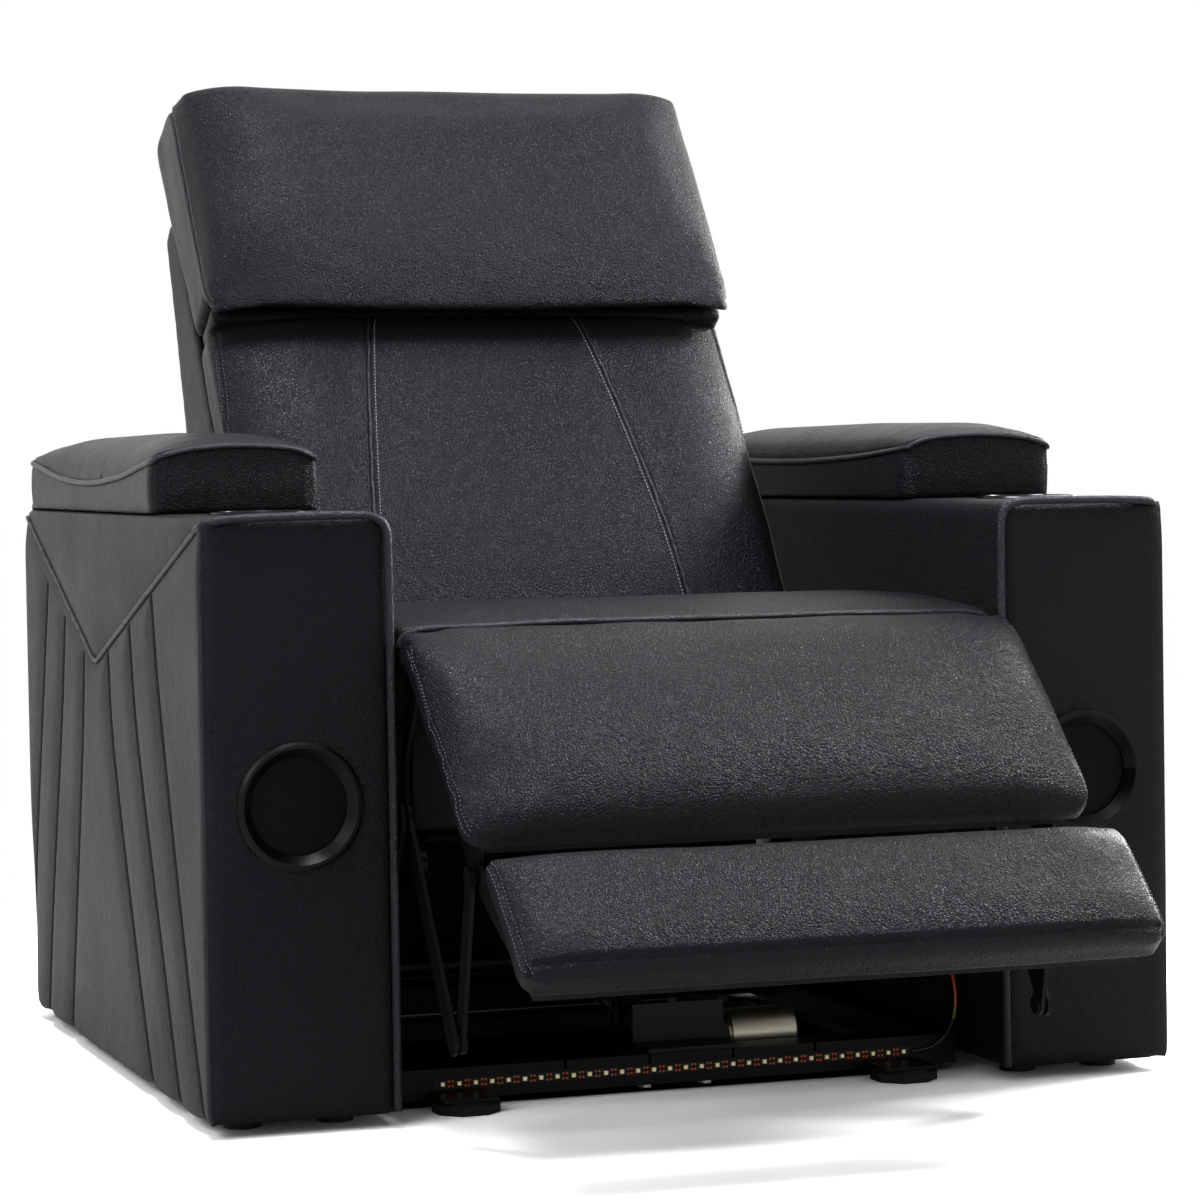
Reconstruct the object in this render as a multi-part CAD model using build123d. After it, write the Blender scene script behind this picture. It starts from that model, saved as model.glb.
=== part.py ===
"""Powered cinema recliner: wide storage arms with speakers, a three-part footrest, a reclining
back and a tilting headrest, on a steel link mechanism. Sizes are millimetres.

Side views are drawn in (y, z): y runs from the arms' front face to the rear, z runs up from the
floor, and +x is the sitter's left. The pose is half reclined, with the footrest half open."""
from build123d import *
from math import atan2, cos, degrees, hypot, pi, radians, sin, tan
import os

# ---- driving dimensions ----------------------------------------------------------------------
WIDTH = 980            # over both arms
FRONT_Y = -314         # arms' front face, from the middle of the footprint

ARM_WIDTH = 178
ARM_DEPTH = 890
ARM_HEIGHT = 576
ARM_CORNER = 22        # outer upright corners, where the leather wraps round
ARM_TOE = 28           # lower rear corner, seen from the side
SKIN = 8               # leather with its thin foam
PANEL = 15             # plywood
FIT = 0.4              # round a piece set into an opening

GLIDE_HEIGHT = 13
GLIDE_FLATS = 62       # across flats of the octagonal floor glides
GLIDE_SET = 72         # middle of the octagonal glides, inside the side plates
GLIDE_FRONT_Y = 62
ARM_GLIDE_RADIUS = 18

LID_WIDTH = 169
LID_FRONT_Y = 240
LID_HEIGHT = 76        # pad with its board
LID_BOARD = 12
LID_GAP = 2            # lid above the arm's top
LID_CORNER = 20
LID_OPEN = 80          # degrees

HINGE_BARREL = 4       # radius
HINGE_PIN = 2          # radius
HINGE_LEAF = 2         # thickness
HINGE_WIDTH = 60
HINGE_SET = 9          # from an arm's side to the lid hinge beside it

BIN_LENGTH = 460
BIN_WIDTH = 122
BIN_DEPTH = 128
BIN_WALL = 2.5
BIN_REAR_Y = 800

CUP_RADIUS = 43        # inside of the cup well
CUP_DEPTH = 68
CUP_WALL = 2
CUP_RIM = 6            # width of the rim outside the well
CUP_Y = 128

SPEAKER_Z = 306
SPEAKER_RADIUS = 60.5
SPEAKER_PROUD = 4
GRILLE_RADIUS = 46
DRIVER_DEPTH = 56

SIDE_GAP = 5           # between the seat or back and an arm
PLATE_GAP = 12         # between a side plate's inner face and an arm
PAD_GAP = 4            # between the footrest's pads and an arm
POST_GAP = 28          # between the back's posts and an arm
SHELL_GAP = 15         # between the outside back and an arm
HEAD_GAP = 2           # between the headrest and the arms' inner faces, seen from the front
SEAT_TOP = 474
SEAT_CROWN = 7
SEAT_BASE = 374        # under the cushion, on top of the seat box
SEAT_REAR_Y = 500
NOSE_HEIGHT = 44
BOX_HEIGHT = 98
BOX_RAIL = 28
BOX_FRONT_Y = 45
APRON = 8
SPRING_WIRE = 3.5
SPRING_COUNT = 5
SPRING_PITCH = 44
SPRING_SWING = 20      # half width of a wave

RAIL_Y = 95            # front face of the front cross rail
RAIL_DEPTH = 40
RAIL_TOP = 37
RAIL_LIFT = 7
RAIL_SHEET = 3
FRAME_Z = 12           # underside of the base frame, on its glides
TUBE = 25              # square side and rear tubes
REAR_TUBE_Y = 640

PLATE = 4              # mechanism sheet
LINK_GAP = 3           # between neighbouring link planes
PIN = 6                # radius of the mechanism's rivets
PIN_HEAD = 9
PIN_HEAD_THICK = 1.8
RIVET_PLAY = 0.4       # along a rivet
RUNNING = 0.05         # radial clearance of a turning joint
OPEN_PIVOT = 0.3       # radial clearance where a closed chain of links meets

KNEE_Y = -26           # footrest hinge
KNEE_Z = 446
KNEE_RADIUS = 24       # round upper end of the calf pad
FOOT_ANGLE = 46.6      # footrest from hanging straight down
FOOT_CLOSE = -41       # degrees from the pose modelled here
FOOT_OPEN = 42
CALF_LENGTH = 250
CALF_CROWN = 48
FOOT_START = 285       # along the footrest, from the hinge
FOOT_LENGTH = 151
FOOT_CROWN = 70
FOOT_REAR = 23
FOOT_BOARD = 12

CRANK_Y = 14           # fixed pivot of the footrest's crank
CRANK_Z = 290
CRANK_LEVER = 45       # short arm that the push link drives
LINK_WIDTH = 22
BRACKET_ALONG = 235    # moving pivot on the footrest bracket
BRACKET_BEHIND = 45

TORQUE_Y = 400
TORQUE_Z = 95
TORQUE_RADIUS = 12
JOURNAL = 8            # radius of the torque tube's ends
DRIVE_X = 52           # footrest drive, right of centre in the front view
DRIVE_Z = 40
DRIVE_RAIL = 7         # radius of a drive's rail tube
NUT_HALF = 9           # half width of a drive nut, between its fork's cheeks
NUT_LENGTH = 32
TRUNNION = 5           # radius
SLOT_PLAY = 1.2        # either side of a trunnion in its fork
EVEN_SHARE = 0.945     # even nut travel against the fork's own, over a wide swing
GEARBOX_RADIUS = 26
GEARBOX_Y = 150
GEARBOX_LENGTH = 64
MOTOR_RADIUS = 25
MOTOR_LENGTH = 74

BACK_Y = 575           # recline pivot
BACK_Z = 395
BACK_PIN = 8
RECLINE = 34.6         # back from upright
BACK_UP = -12          # degrees from the pose modelled here
BACK_DOWN = 25
BACK_FACE = 91         # front of the back cushion, ahead of the pivot
BACK_CROWN = 4
BACK_TOP = 420         # along the back, from the pivot
BACK_REAR = 12         # rear of the cushion, ahead of the pivot
POST = 28
FRAME_DEPTH = 40
FRAME_TOP = 620
BACK_FOOT = -50        # lower end of the back's frame
MID_RAIL = 330
UPPER_SET = 16         # upper posts' front, behind the pivot line
BRACKET_SHEET = 6
BOLT_RADIUS = 4
SHELL_WALL = 12
SHELL_FRONT = -17
SHELL_FOOT = 20
SHELL_TOP = 655        # along the back, from the pivot
SHELL_TOP_DEPTH = 80   # rear of the outside back, behind the pivot line, at its top
SHELL_BENDS = ((92, 590), (139, 408), (188, 180))  # lower bends: behind the line, along it
SHELL_FOOT_DEPTH = 203
BACK_LEVER = 150
BACK_DRIVE_X = -60
BACK_GEARBOX_Y = 416

HEAD_AHEAD = 73        # headrest hinge, ahead of the recline pivot
HEAD_ALONG = 435       # and along the back
HEAD_TILT = 38
HEAD_BOARD = 12
HEAD_LOW = 438         # rear lower edge, along the back
HEAD_HIGH = 707        # rear upper edge
HEAD_REAR = 14.5       # rear plane at its lower edge, ahead of the pivot line
HEAD_LEAN = 0.106      # slope of the rear plane
HEAD_FACE = ((124, 407), (143, 470), (149, 580), (148, 709))  # ahead of the line, along it
HEAD_TOP = ((137, 720), (4, 752), (-10, 742))
HEAD_BRACKET_X = 180
HEAD_PIN = 6           # radius of the hinge shaft
HEAD_RAIL = 113        # drive rail behind the hinge
HEAD_RAIL_LENGTH = 262
HEAD_GEARBOX = 246     # lower end of the drive, along the back
LEVER_ROOM = 18        # half width left free for the drive's fork

BUTTON_RADIUS = 8
BUTTON_TRAVEL = 1.5
BUTTON_PITCH = 26
BUTTON_COUNT = 4
PANEL_PROUD = 3
PANEL_Y = 205
PANEL_DROP = 54        # middle of the control panel, under the arm's top

LED_PITCH = 1000 / 60
STRIP_SET = 50         # end of the strip, inside the side plates
STRIP_Z = 22
LEAD_RADIUS = 1.6

# ---- sizes that follow -----------------------------------------------------------------------
ARM_OUT = WIDTH / 2
ARM_IN = ARM_OUT - ARM_WIDTH
ARM_MID = ARM_OUT - ARM_WIDTH / 2
SEAT_HALF = ARM_IN - SIDE_GAP
PLATE_IN = ARM_IN - PLATE_GAP
PAD_WIDTH = 2 * (ARM_IN - PAD_GAP)
POST_OUT = ARM_IN - POST_GAP
SHELL_WIDTH = 2 * (ARM_IN - SHELL_GAP)
HEAD_WIDTH = 2 * (ARM_IN - HEAD_GAP)
GLIDE_X = PLATE_IN - GLIDE_SET
PANEL_Z = ARM_HEIGHT - PANEL_DROP
LED_COUNT = round(2 * (PLATE_IN - STRIP_SET) / LED_PITCH)
STRIP_END = LED_COUNT * LED_PITCH / 2
CRANK_X = (PLATE_IN - LINK_GAP - PLATE, PLATE_IN - LINK_GAP)
LINK_X = (CRANK_X[0] - LINK_GAP - PLATE, CRANK_X[0] - LINK_GAP)
BRACKET_X = (LINK_X[0] - LINK_GAP - PLATE, LINK_X[0] - LINK_GAP)
KNEE = (KNEE_Y, KNEE_Z)
CRANK = (CRANK_Y, CRANK_Z)
TORQUE = (TORQUE_Y, TORQUE_Z)
BACK = (BACK_Y, BACK_Z)
BOX_LOW = SEAT_BASE - BOX_HEIGHT
FOOT_SWING = (FOOT_CLOSE, FOOT_OPEN)
BACK_SWING = (BACK_UP, BACK_DOWN)
HEAD_SWING = (-HEAD_TILT, 0)
LID_Z = ARM_HEIGHT + LID_GAP
LID_REAR_Y = ARM_DEPTH - 1
HINGE = (ARM_DEPTH + HINGE_BARREL, ARM_HEIGHT + LID_GAP / 2)
HINGE_SPREAD = ARM_WIDTH / 2 - HINGE_SET - HINGE_WIDTH / 2

os.makedirs("parts", exist_ok=True)


# ---- ways to make a solid --------------------------------------------------------------------
def block(x, y, z):
    """Box between two limits on each axis."""
    size = (x[1] - x[0], y[1] - y[0], z[1] - z[0])
    return Pos((x[0] + x[1]) / 2, (y[0] + y[1]) / 2, (z[0] + z[1]) / 2) * Box(*size)


def across(outline, x):
    """A side-view outline, made a solid from x[0] to x[1]."""
    return Pos(x[0], 0, 0) * extrude(Plane.YZ * outline, x[1] - x[0])


def polygon(points):
    return make_face(Polyline(*points, close=True))


def bar(point, radius, x):
    """Round bar along X through a point of the side view."""
    return across(Pos(*point) * Circle(radius), x)


def strap(a, b, width, x):
    """Flat link with round ends from a to b in the side view."""
    turn = degrees(atan2(b[1] - a[1], b[0] - a[0]))
    middle = Pos((a[0] + b[0]) / 2, (a[1] + b[1]) / 2)
    slot = SlotCenterToCenter(hypot(b[0] - a[0], b[1] - a[1]), width)
    return across(middle * Rot(0, 0, turn) * slot, x)


def rivet(point, x_from, x_to):
    """Rivet from the inner face of one plate to just past the plate it carries."""
    step = 1 if x_to > x_from else -1
    shank = (min(x_from, x_to), max(x_from, x_to))
    head = sorted((x_to, x_to + step * PIN_HEAD_THICK))
    return bar(point, PIN, shank) + bar(point, PIN_HEAD, head)


def other_side(shape):
    return mirror(shape, about=Plane.YZ)


def turned(vector, angle):
    """A side-view vector after the swing that lifts a hanging footrest by an angle."""
    c, s = cos(radians(angle)), sin(radians(angle))
    return (vector[0] * c + vector[1] * s, vector[1] * c - vector[0] * s)


def plus(point, vector):
    return (point[0] + vector[0], point[1] + vector[1])


parts = {}


# ---- arms ------------------------------------------------------------------------------------
def arm_block(inset, bottom):
    """The left arm's outline, moved inwards all round, down to a given height."""
    corner = ARM_CORNER - inset if inset < ARM_CORNER else 1
    toe = ARM_TOE - inset if inset < ARM_TOE else 1
    plan = Pos(ARM_MID, ARM_DEPTH / 2) * Rectangle(ARM_WIDTH - 2 * inset, ARM_DEPTH - 2 * inset)
    plan = fillet(plan.vertices().sort_by(Axis.X)[-2:], corner)
    top = ARM_HEIGHT - inset
    side = Pos(ARM_DEPTH / 2, (top + bottom) / 2) * Rectangle(ARM_DEPTH - 2 * inset, top - bottom)
    lower = side.vertices().sort_by(Axis.Y)[:2].sort_by(Axis.X)
    side = fillet(lower[-1], toe)
    upright = Pos(0, 0, bottom) * extrude(plan, top - bottom)
    return upright & across(side, (ARM_IN, ARM_OUT))


def bin_box(grow, floor):
    """The storage bin's well, grown sideways, down to a given depth."""
    half = BIN_WIDTH / 2 + grow
    return block(
        (ARM_MID - half, ARM_MID + half),
        (BIN_REAR_Y - BIN_LENGTH - grow, BIN_REAR_Y + grow),
        (ARM_HEIGHT - floor, ARM_HEIGHT + 5),
    )


def arm_openings(with_panel):
    """Everything that passes through an arm's cover and carcass."""
    well = CUP_RADIUS + CUP_WALL
    cup = Pos(ARM_MID, CUP_Y, ARM_HEIGHT - 50) * Cylinder(well + FIT, 120)
    hole = Rot(90, 0, 0) * Cylinder(SPEAKER_RADIUS - 5 + FIT, 100)
    speaker = Pos(ARM_MID, 30, SPEAKER_Z) * hole
    cut = cup + speaker + bin_box(BIN_WALL, 60)
    if with_panel:
        cut += panel_body(0)
    return cut


def panel_body(grow):
    """Control panel's rear box, through the right arm's inner side (drawn on the left arm)."""
    half = BUTTON_COUNT * BUTTON_PITCH / 2
    return block(
        (ARM_IN, ARM_IN + SKIN + PANEL + 6),
        (PANEL_Y - half - grow, PANEL_Y + half + grow),
        (PANEL_Z - 16 - grow, PANEL_Z + 16 + grow),
    )


def make_arm(with_panel):
    cavity_floor = GLIDE_HEIGHT + PANEL
    openings = arm_openings(with_panel)
    inner = arm_block(SKIN, GLIDE_HEIGHT)
    cover = arm_block(0, GLIDE_HEIGHT) - inner - openings
    frame = inner - arm_block(SKIN + PANEL, cavity_floor) - openings
    return cover, frame


def storage_bin():
    tub = bin_box(BIN_WALL, BIN_DEPTH) - bin_box(0, BIN_DEPTH - BIN_WALL)
    tub &= block((0, WIDTH), (0, ARM_DEPTH), (0, ARM_HEIGHT))
    rim_z = (ARM_HEIGHT, ARM_HEIGHT + LID_GAP * 0.6)
    rim = bin_box(BIN_WALL + 7, 1) & block((0, WIDTH), (0, ARM_DEPTH), rim_z)
    return tub + (rim - bin_box(0, 1))


def cup_holder():
    well = CUP_RADIUS + CUP_WALL
    points = [
        (0, -CUP_DEPTH - CUP_WALL), (well, -CUP_DEPTH - CUP_WALL), (well, 0),
        (well + CUP_RIM - 2, 0), (well + CUP_RIM, 0.8), (well + CUP_RIM - 1, 2.2),
        (well - 1, 3), (CUP_RADIUS, 1.6), (CUP_RADIUS, -CUP_DEPTH), (0, -CUP_DEPTH),
    ]
    half_section = make_face(Polyline(*points, close=True))
    return Pos(ARM_MID, CUP_Y, ARM_HEIGHT) * revolve(Plane.XZ * half_section, Axis.Z)


def speaker_section(points):
    """A section in (radius, distance behind the arm's face), turned round the speaker's axis."""
    face = make_face(Polyline(*points, close=True))
    turned_solid = revolve(face, Axis.Y)
    return Pos(ARM_MID, 0, SPEAKER_Z) * turned_solid


def speaker_bezel():
    barrel = SPEAKER_RADIUS - 5
    return speaker_section([
        (SPEAKER_RADIUS, 0), (SPEAKER_RADIUS, -1.5), (SPEAKER_RADIUS - 3, -SPEAKER_PROUD),
        (SPEAKER_RADIUS - 6, -SPEAKER_PROUD), (GRILLE_RADIUS, 5), (GRILLE_RADIUS, 12),
        (GRILLE_RADIUS + 2, SKIN + PANEL + 2), (barrel, SKIN + PANEL + 2), (barrel, 0),
    ])


def speaker_grille():
    edge, dome = GRILLE_RADIUS, 2.5
    return speaker_section([
        (0, 9), (0, 9 - dome - 1.2), (edge * 0.5, 9 - dome * 0.75 - 1.2), (edge, 7.8), (edge, 12),
        (edge - 2, 12), (edge - 2, 9),
    ])


def speaker_driver():
    seat = SKIN + PANEL + 2
    basket = GRILLE_RADIUS
    return speaker_section([
        (basket + 6, seat), (basket - 4, seat), (basket - 8, seat - 4), (10, seat + 16),
        (0, seat + 14), (0, seat + DRIVER_DEPTH), (24, seat + DRIVER_DEPTH),
        (24, seat + DRIVER_DEPTH - 18), (12, seat + DRIVER_DEPTH - 18), (basket - 8, seat + 8),
        (basket + 6, seat + 2),
    ])


def lid_hinges(moving):
    """The two butt hinges behind one lid: leaves, knuckles and the pins in the fixed half."""
    half, knuckle = HINGE_WIDTH / 2, HINGE_WIDTH / 6
    leaves = None
    for middle in (ARM_MID - HINGE_SPREAD, ARM_MID + HINGE_SPREAD):
        centre = (middle - knuckle + 0.5, middle + knuckle - 0.5)
        if moving:
            leaf_y = (LID_REAR_Y, LID_REAR_Y + HINGE_LEAF)
            leaf = block((middle - half, middle + half), leaf_y, (HINGE[1] + 6, HINGE[1] + 34))
            leaf += block(centre, leaf_y, (HINGE[1], HINGE[1] + 7))
            leaf += bar(HINGE, HINGE_BARREL, centre)
            leaf -= bar(HINGE, HINGE_PIN + RUNNING, (middle - half, middle + half))
        else:
            leaf_y = (ARM_DEPTH, ARM_DEPTH + HINGE_LEAF)
            leaf = block((middle - half, middle + half), leaf_y, (HINGE[1] - 34, HINGE[1] - 5))
            for end in ((middle - half, middle - knuckle), (middle + knuckle, middle + half)):
                leaf += block(end, leaf_y, (HINGE[1] - 6, HINGE[1]))
                leaf += bar(HINGE, HINGE_BARREL, end)
            leaf += bar(HINGE, HINGE_PIN, (middle - half, middle + half))
        leaves = leaf if leaves is None else leaves + leaf
    return leaves


def lid_board():
    half = LID_WIDTH / 2 - SKIN
    y = (LID_FRONT_Y + SKIN, LID_REAR_Y - SKIN)
    return block((ARM_MID - half, ARM_MID + half), y, (LID_Z, LID_Z + LID_BOARD))


def lid_pad():
    half = LID_WIDTH / 2
    x = (ARM_MID - half, ARM_MID + half)
    pad = block(x, (LID_FRONT_Y, LID_REAR_Y), (LID_Z, LID_Z + LID_HEIGHT))
    top = pad.edges().group_by(Axis.Z)[-1]
    pad = fillet(top, LID_CORNER)
    return pad - lid_board()


def control_panel():
    half = BUTTON_COUNT * BUTTON_PITCH / 2 + 14
    plate = Pos(PANEL_Y, PANEL_Z) * SlotOverall(2 * half, 44)
    body = across(plate, (ARM_IN - PANEL_PROUD, ARM_IN)) + panel_body(-FIT)
    for y in button_places():
        body -= bar((y, PANEL_Z), BUTTON_RADIUS + 0.3, (ARM_IN - 10, ARM_IN + 12))
    return body


def button_places():
    first = PANEL_Y - (BUTTON_COUNT - 1) * BUTTON_PITCH / 2
    return [first + i * BUTTON_PITCH for i in range(BUTTON_COUNT)]


def button(y):
    """Push button, proud of the panel, with room behind it for its travel."""
    proud = ARM_IN - PANEL_PROUD - 2.2
    cap = bar((y, PANEL_Z), BUTTON_RADIUS, (proud, ARM_IN + 9))
    rim = cap.edges().group_by(Axis.X)[0]
    return fillet(rim, 1)


def make_arms():
    cover, frame = make_arm(False)
    cover_right, frame_right = make_arm(True)
    parts["arm_cover_left"] = cover
    parts["arm_cover_right"] = other_side(cover_right)
    parts["arm_frames"] = [frame, other_side(frame_right)]
    parts["cup_holder_left"] = cup_holder()
    parts["cup_holder_right"] = other_side(cup_holder())
    pairs = {
        "storage_bins": storage_bin(), "speaker_bezels": speaker_bezel(),
        "speaker_grilles": speaker_grille(), "speaker_drivers": speaker_driver(),
        "lid_hinges_fixed": lid_hinges(False),
    }
    for name, piece in pairs.items():
        parts[name] = [piece, other_side(piece)]
    for name, piece in (("lid_board", lid_board()), ("lid_pad", lid_pad())):
        parts[name + "_left"] = piece
        parts[name + "_right"] = other_side(piece)
    parts["lid_hinge_left"] = lid_hinges(True)
    parts["lid_hinge_right"] = other_side(lid_hinges(True))
    parts["control_panel"] = other_side(control_panel())
    names = ("recline_button", "upright_button", "head_forward_button", "head_back_button")
    for name, y in zip(names, button_places()):
        parts[name] = other_side(button(y))


# ---- base ------------------------------------------------------------------------------------
def floor_glides():
    """Octagonal glides under the mechanism and round ones under the arms."""
    glides = []
    octagon = Rot(0, 0, 22.5) * RegularPolygon(GLIDE_FLATS / 2, 8, major_radius=False)
    for x in (-GLIDE_X, GLIDE_X):
        for y in (GLIDE_FRONT_Y, REAR_TUBE_Y + TUBE / 2):
            foot = extrude(octagon, FRAME_Z - 3) + Pos(0, 0, FRAME_Z - 3) * extrude(octagon, 3, taper=45)
            glides.append(Pos(x, y, 0) * foot)
    for x in (-ARM_MID - 45, -ARM_MID + 45, ARM_MID - 45, ARM_MID + 45):
        for y in (70, ARM_DEPTH - 90):
            glides.append(Pos(x, y, GLIDE_HEIGHT / 2) * Cylinder(ARM_GLIDE_RADIUS, GLIDE_HEIGHT))
    return glides


def rail_slots():
    return [-116 + i * 87.5 for i in range(4)]


def bolt_places():
    return (-27, 36)


def front_rail():
    """Folded channel, open to the rear, with a tongue over each front glide."""
    back_y = RAIL_Y + RAIL_DEPTH
    span = (-PLATE_IN, PLATE_IN)
    rail = block(span, (RAIL_Y, back_y), (RAIL_LIFT, RAIL_TOP))
    inside = (RAIL_LIFT + RAIL_SHEET, RAIL_TOP - RAIL_SHEET)
    rail -= block(span, (RAIL_Y + RAIL_SHEET, back_y), inside)
    for x in (-GLIDE_X, GLIDE_X):
        rail += block((x - 28, x + 28), (GLIDE_FRONT_Y - 22, RAIL_Y), (FRAME_Z, FRAME_Z + RAIL_SHEET))
    for x in rail_slots():
        rail -= block((x - 1.5, x + 1.5), (RAIL_Y - 1, RAIL_Y + 10), (28, RAIL_TOP + 1))
    for x in bolt_places():
        rail -= Pos(x, RAIL_Y + 20, RAIL_LIFT) * Cylinder(BOLT_RADIUS + 0.1, 20)
    return rail


def rail_bolts():
    """Two bolts under the front rail and four that hold the seat box to the side plates."""
    bolts = []
    for x in bolt_places():
        shank = Pos(0, 0, RAIL_LIFT + 8) * Cylinder(BOLT_RADIUS, 18)
        head = extrude(RegularPolygon(6.5, 6, major_radius=False), RAIL_LIFT - 2)
        bolts.append(Pos(x, RAIL_Y + 20, 0) * (shank + Pos(0, 0, 2) * head))
    for y in (120, 430):
        head = bar((y, SEAT_BASE - 40), 7, (PLATE_IN + PLATE, PLATE_IN + PLATE + 4))
        bolts += [head, other_side(head)]
    return bolts


def base_frame():
    """Welded square tubes: one along each side and one across the rear."""
    z = (FRAME_Z, FRAME_Z + TUBE)
    side = block((PLATE_IN - TUBE, PLATE_IN), (RAIL_Y + RAIL_DEPTH, REAR_TUBE_Y), z)
    rear = block((-PLATE_IN, PLATE_IN), (REAR_TUBE_Y, REAR_TUBE_Y + TUBE), z)
    return side + rear + other_side(side)


def side_plate():
    """Main plate of the mechanism, with its fixed pivots riveted in."""
    low = FRAME_Z + 2
    outline = polygon([
        (RAIL_Y + RAIL_DEPTH, low), (92, 150), (CRANK_Y - 14, CRANK_Z - 12),
        (CRANK_Y - 12, CRANK_Z + 12), (CRANK_Y + 8, CRANK_Z + 16), (62, 316), (90, SEAT_BASE - 4),
        (SEAT_REAR_Y, SEAT_BASE - 4), (BACK_Y - 26, BACK_Z + 6), (BACK_Y - 12, BACK_Z + 21),
        (BACK_Y + 14, BACK_Z + 20), (BACK_Y + 24, BACK_Z), (BACK_Y + 16, BACK_Z - 65),
        (REAR_TUBE_Y - 40, 200),
        (REAR_TUBE_Y, low),
    ])
    windows = (
        [(150, 80), (150, 190), (90, 255), (230, 255), (230, 80)],
        [(270, 80), (270, 255), (345, 255), (345, 80)],
        [(455, 80), (455, 255), (540, 255), (560, 80)],
    )
    sheet = (PLATE_IN, PLATE_IN + PLATE)
    plate = across(outline, sheet)
    for window in windows:
        plate -= across(fillet(polygon(window).vertices(), 10), sheet)
    plate -= bar(TORQUE, JOURNAL + RUNNING, sheet)
    plate += rivet(CRANK, PLATE_IN, CRANK_X[0] - RIVET_PLAY)
    plate += bar(BACK, BACK_PIN + 5, (POST_OUT + BRACKET_SHEET + 1, PLATE_IN))
    return plate + bar(BACK, BACK_PIN, (POST_OUT + 0.5, PLATE_IN))


def led_strip():
    """Flexible strip along the rail's face, with its lamps."""
    half = STRIP_END
    strip = block((-half, half), (RAIL_Y - 1, RAIL_Y), (STRIP_Z - 4.5, STRIP_Z + 4.5))
    for i in range(LED_COUNT):
        x = -half + (i + 0.5) * LED_PITCH
        lamp = (STRIP_Z - 2.3, STRIP_Z + 2.3)
        strip += block((x - 2.3, x + 2.3), (RAIL_Y - 2.4, RAIL_Y - 1), lamp)
    return strip


def led_lead():
    """Lead from the strip's end, up in front of the side plate and on to its inner face."""
    points = [
        (STRIP_END, RAIL_Y - LEAD_RADIUS, STRIP_Z), (STRIP_END + 17, RAIL_Y - LEAD_RADIUS, STRIP_Z),
        (PLATE_IN - 17, RAIL_Y - 7, STRIP_Z + 10), (PLATE_IN - 10, RAIL_Y - 16, STRIP_Z + 28),
        (PLATE_IN - 8.5, RAIL_Y - 21, STRIP_Z + 50), (PLATE_IN - 9, RAIL_Y - 17, STRIP_Z + 72),
        (PLATE_IN - 9.5, RAIL_Y - 3, STRIP_Z + 89), (PLATE_IN - 9.5, RAIL_Y + 11, STRIP_Z + 99),
        (PLATE_IN, RAIL_Y + 11, STRIP_Z + 99),
    ]
    runs = [Vector(*b) - Vector(*a) for a, b in zip(points, points[1:])]
    radii = []
    for run, after in zip(runs, runs[1:]):
        half_turn = radians(run.get_angle(after)) / 2
        radii.append(0.45 * min(run.length, after.length) / tan(half_turn))
    route = FilletPolyline(*points, radius=radii)
    lead = sweep(Plane(origin=points[0], z_dir=runs[0]) * Circle(LEAD_RADIUS), route)
    section = pi * LEAD_RADIUS ** 2
    print("led_lead: radii", [round(r, 1) for r in radii], "length", round(route.length, 1),
          "volume / (section x length)", round(lead.volume / (section * route.length), 4))
    return lead


def control_box():
    box = block((60, 160), (430, SEAT_REAR_Y), (BOX_LOW - 38, BOX_LOW))
    return fillet(box.edges().filter_by(Axis.Z), 6)


# ---- seat ------------------------------------------------------------------------------------
def seat_frame():
    """Wooden box with a ledge round its top for the spring ends."""
    z = (BOX_LOW, SEAT_BASE)
    inner_x = PLATE_IN - BOX_RAIL
    frame = block((-PLATE_IN, PLATE_IN), (BOX_FRONT_Y, SEAT_REAR_Y), z)
    frame -= block((-inner_x, inner_x), (BOX_FRONT_Y + 25, SEAT_REAR_Y - 25), z)
    ledge = (SEAT_BASE - SPRING_WIRE, SEAT_BASE)
    return frame - block((-inner_x, inner_x), (BOX_FRONT_Y + 10, SEAT_REAR_Y - 10), ledge)


def seat_springs():
    """Sinuous springs from the front ledge to the rear ledge, drawn as waves of round bends."""
    first, last = BOX_FRONT_Y + 10, SEAT_REAR_Y - 10
    waves = round((last - first) / SPRING_PITCH)
    bend = (last - first) / (4 * waves)
    spread = 2 * (PLATE_IN - BOX_RAIL) / SPRING_COUNT
    half = SPRING_WIRE / 2
    springs = []
    for i in range(SPRING_COUNT):
        x = (i - (SPRING_COUNT - 1) / 2) * spread
        wave = None
        for k in range(2 * waves):
            turn = 1 if k % 2 else -1
            middle = (x + turn * (SPRING_SWING - bend), first + (2 * k + 1) * bend)
            ring = Circle(bend + half) - Circle(bend - half)
            ring &= Pos(turn * bend, 0) * Rectangle(2 * bend, 2 * bend + SPRING_WIRE)
            leg_x = sorted((0, -turn * (SPRING_SWING - bend)))
            legs = Pos((leg_x[0] + leg_x[1]) / 2, bend) * Rectangle(leg_x[1] - leg_x[0], SPRING_WIRE)
            legs += Pos((leg_x[0] + leg_x[1]) / 2, -bend) * Rectangle(leg_x[1] - leg_x[0], SPRING_WIRE)
            piece = Pos(*middle) * (ring + legs)
            wave = piece if wave is None else wave + piece
        springs.append(Pos(0, 0, SEAT_BASE - SPRING_WIRE) * extrude(wave, SPRING_WIRE))
    trim = block((-PLATE_IN, PLATE_IN), (first, last), (SEAT_BASE - SPRING_WIRE, SEAT_BASE))
    return [spring & trim for spring in springs]


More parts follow.
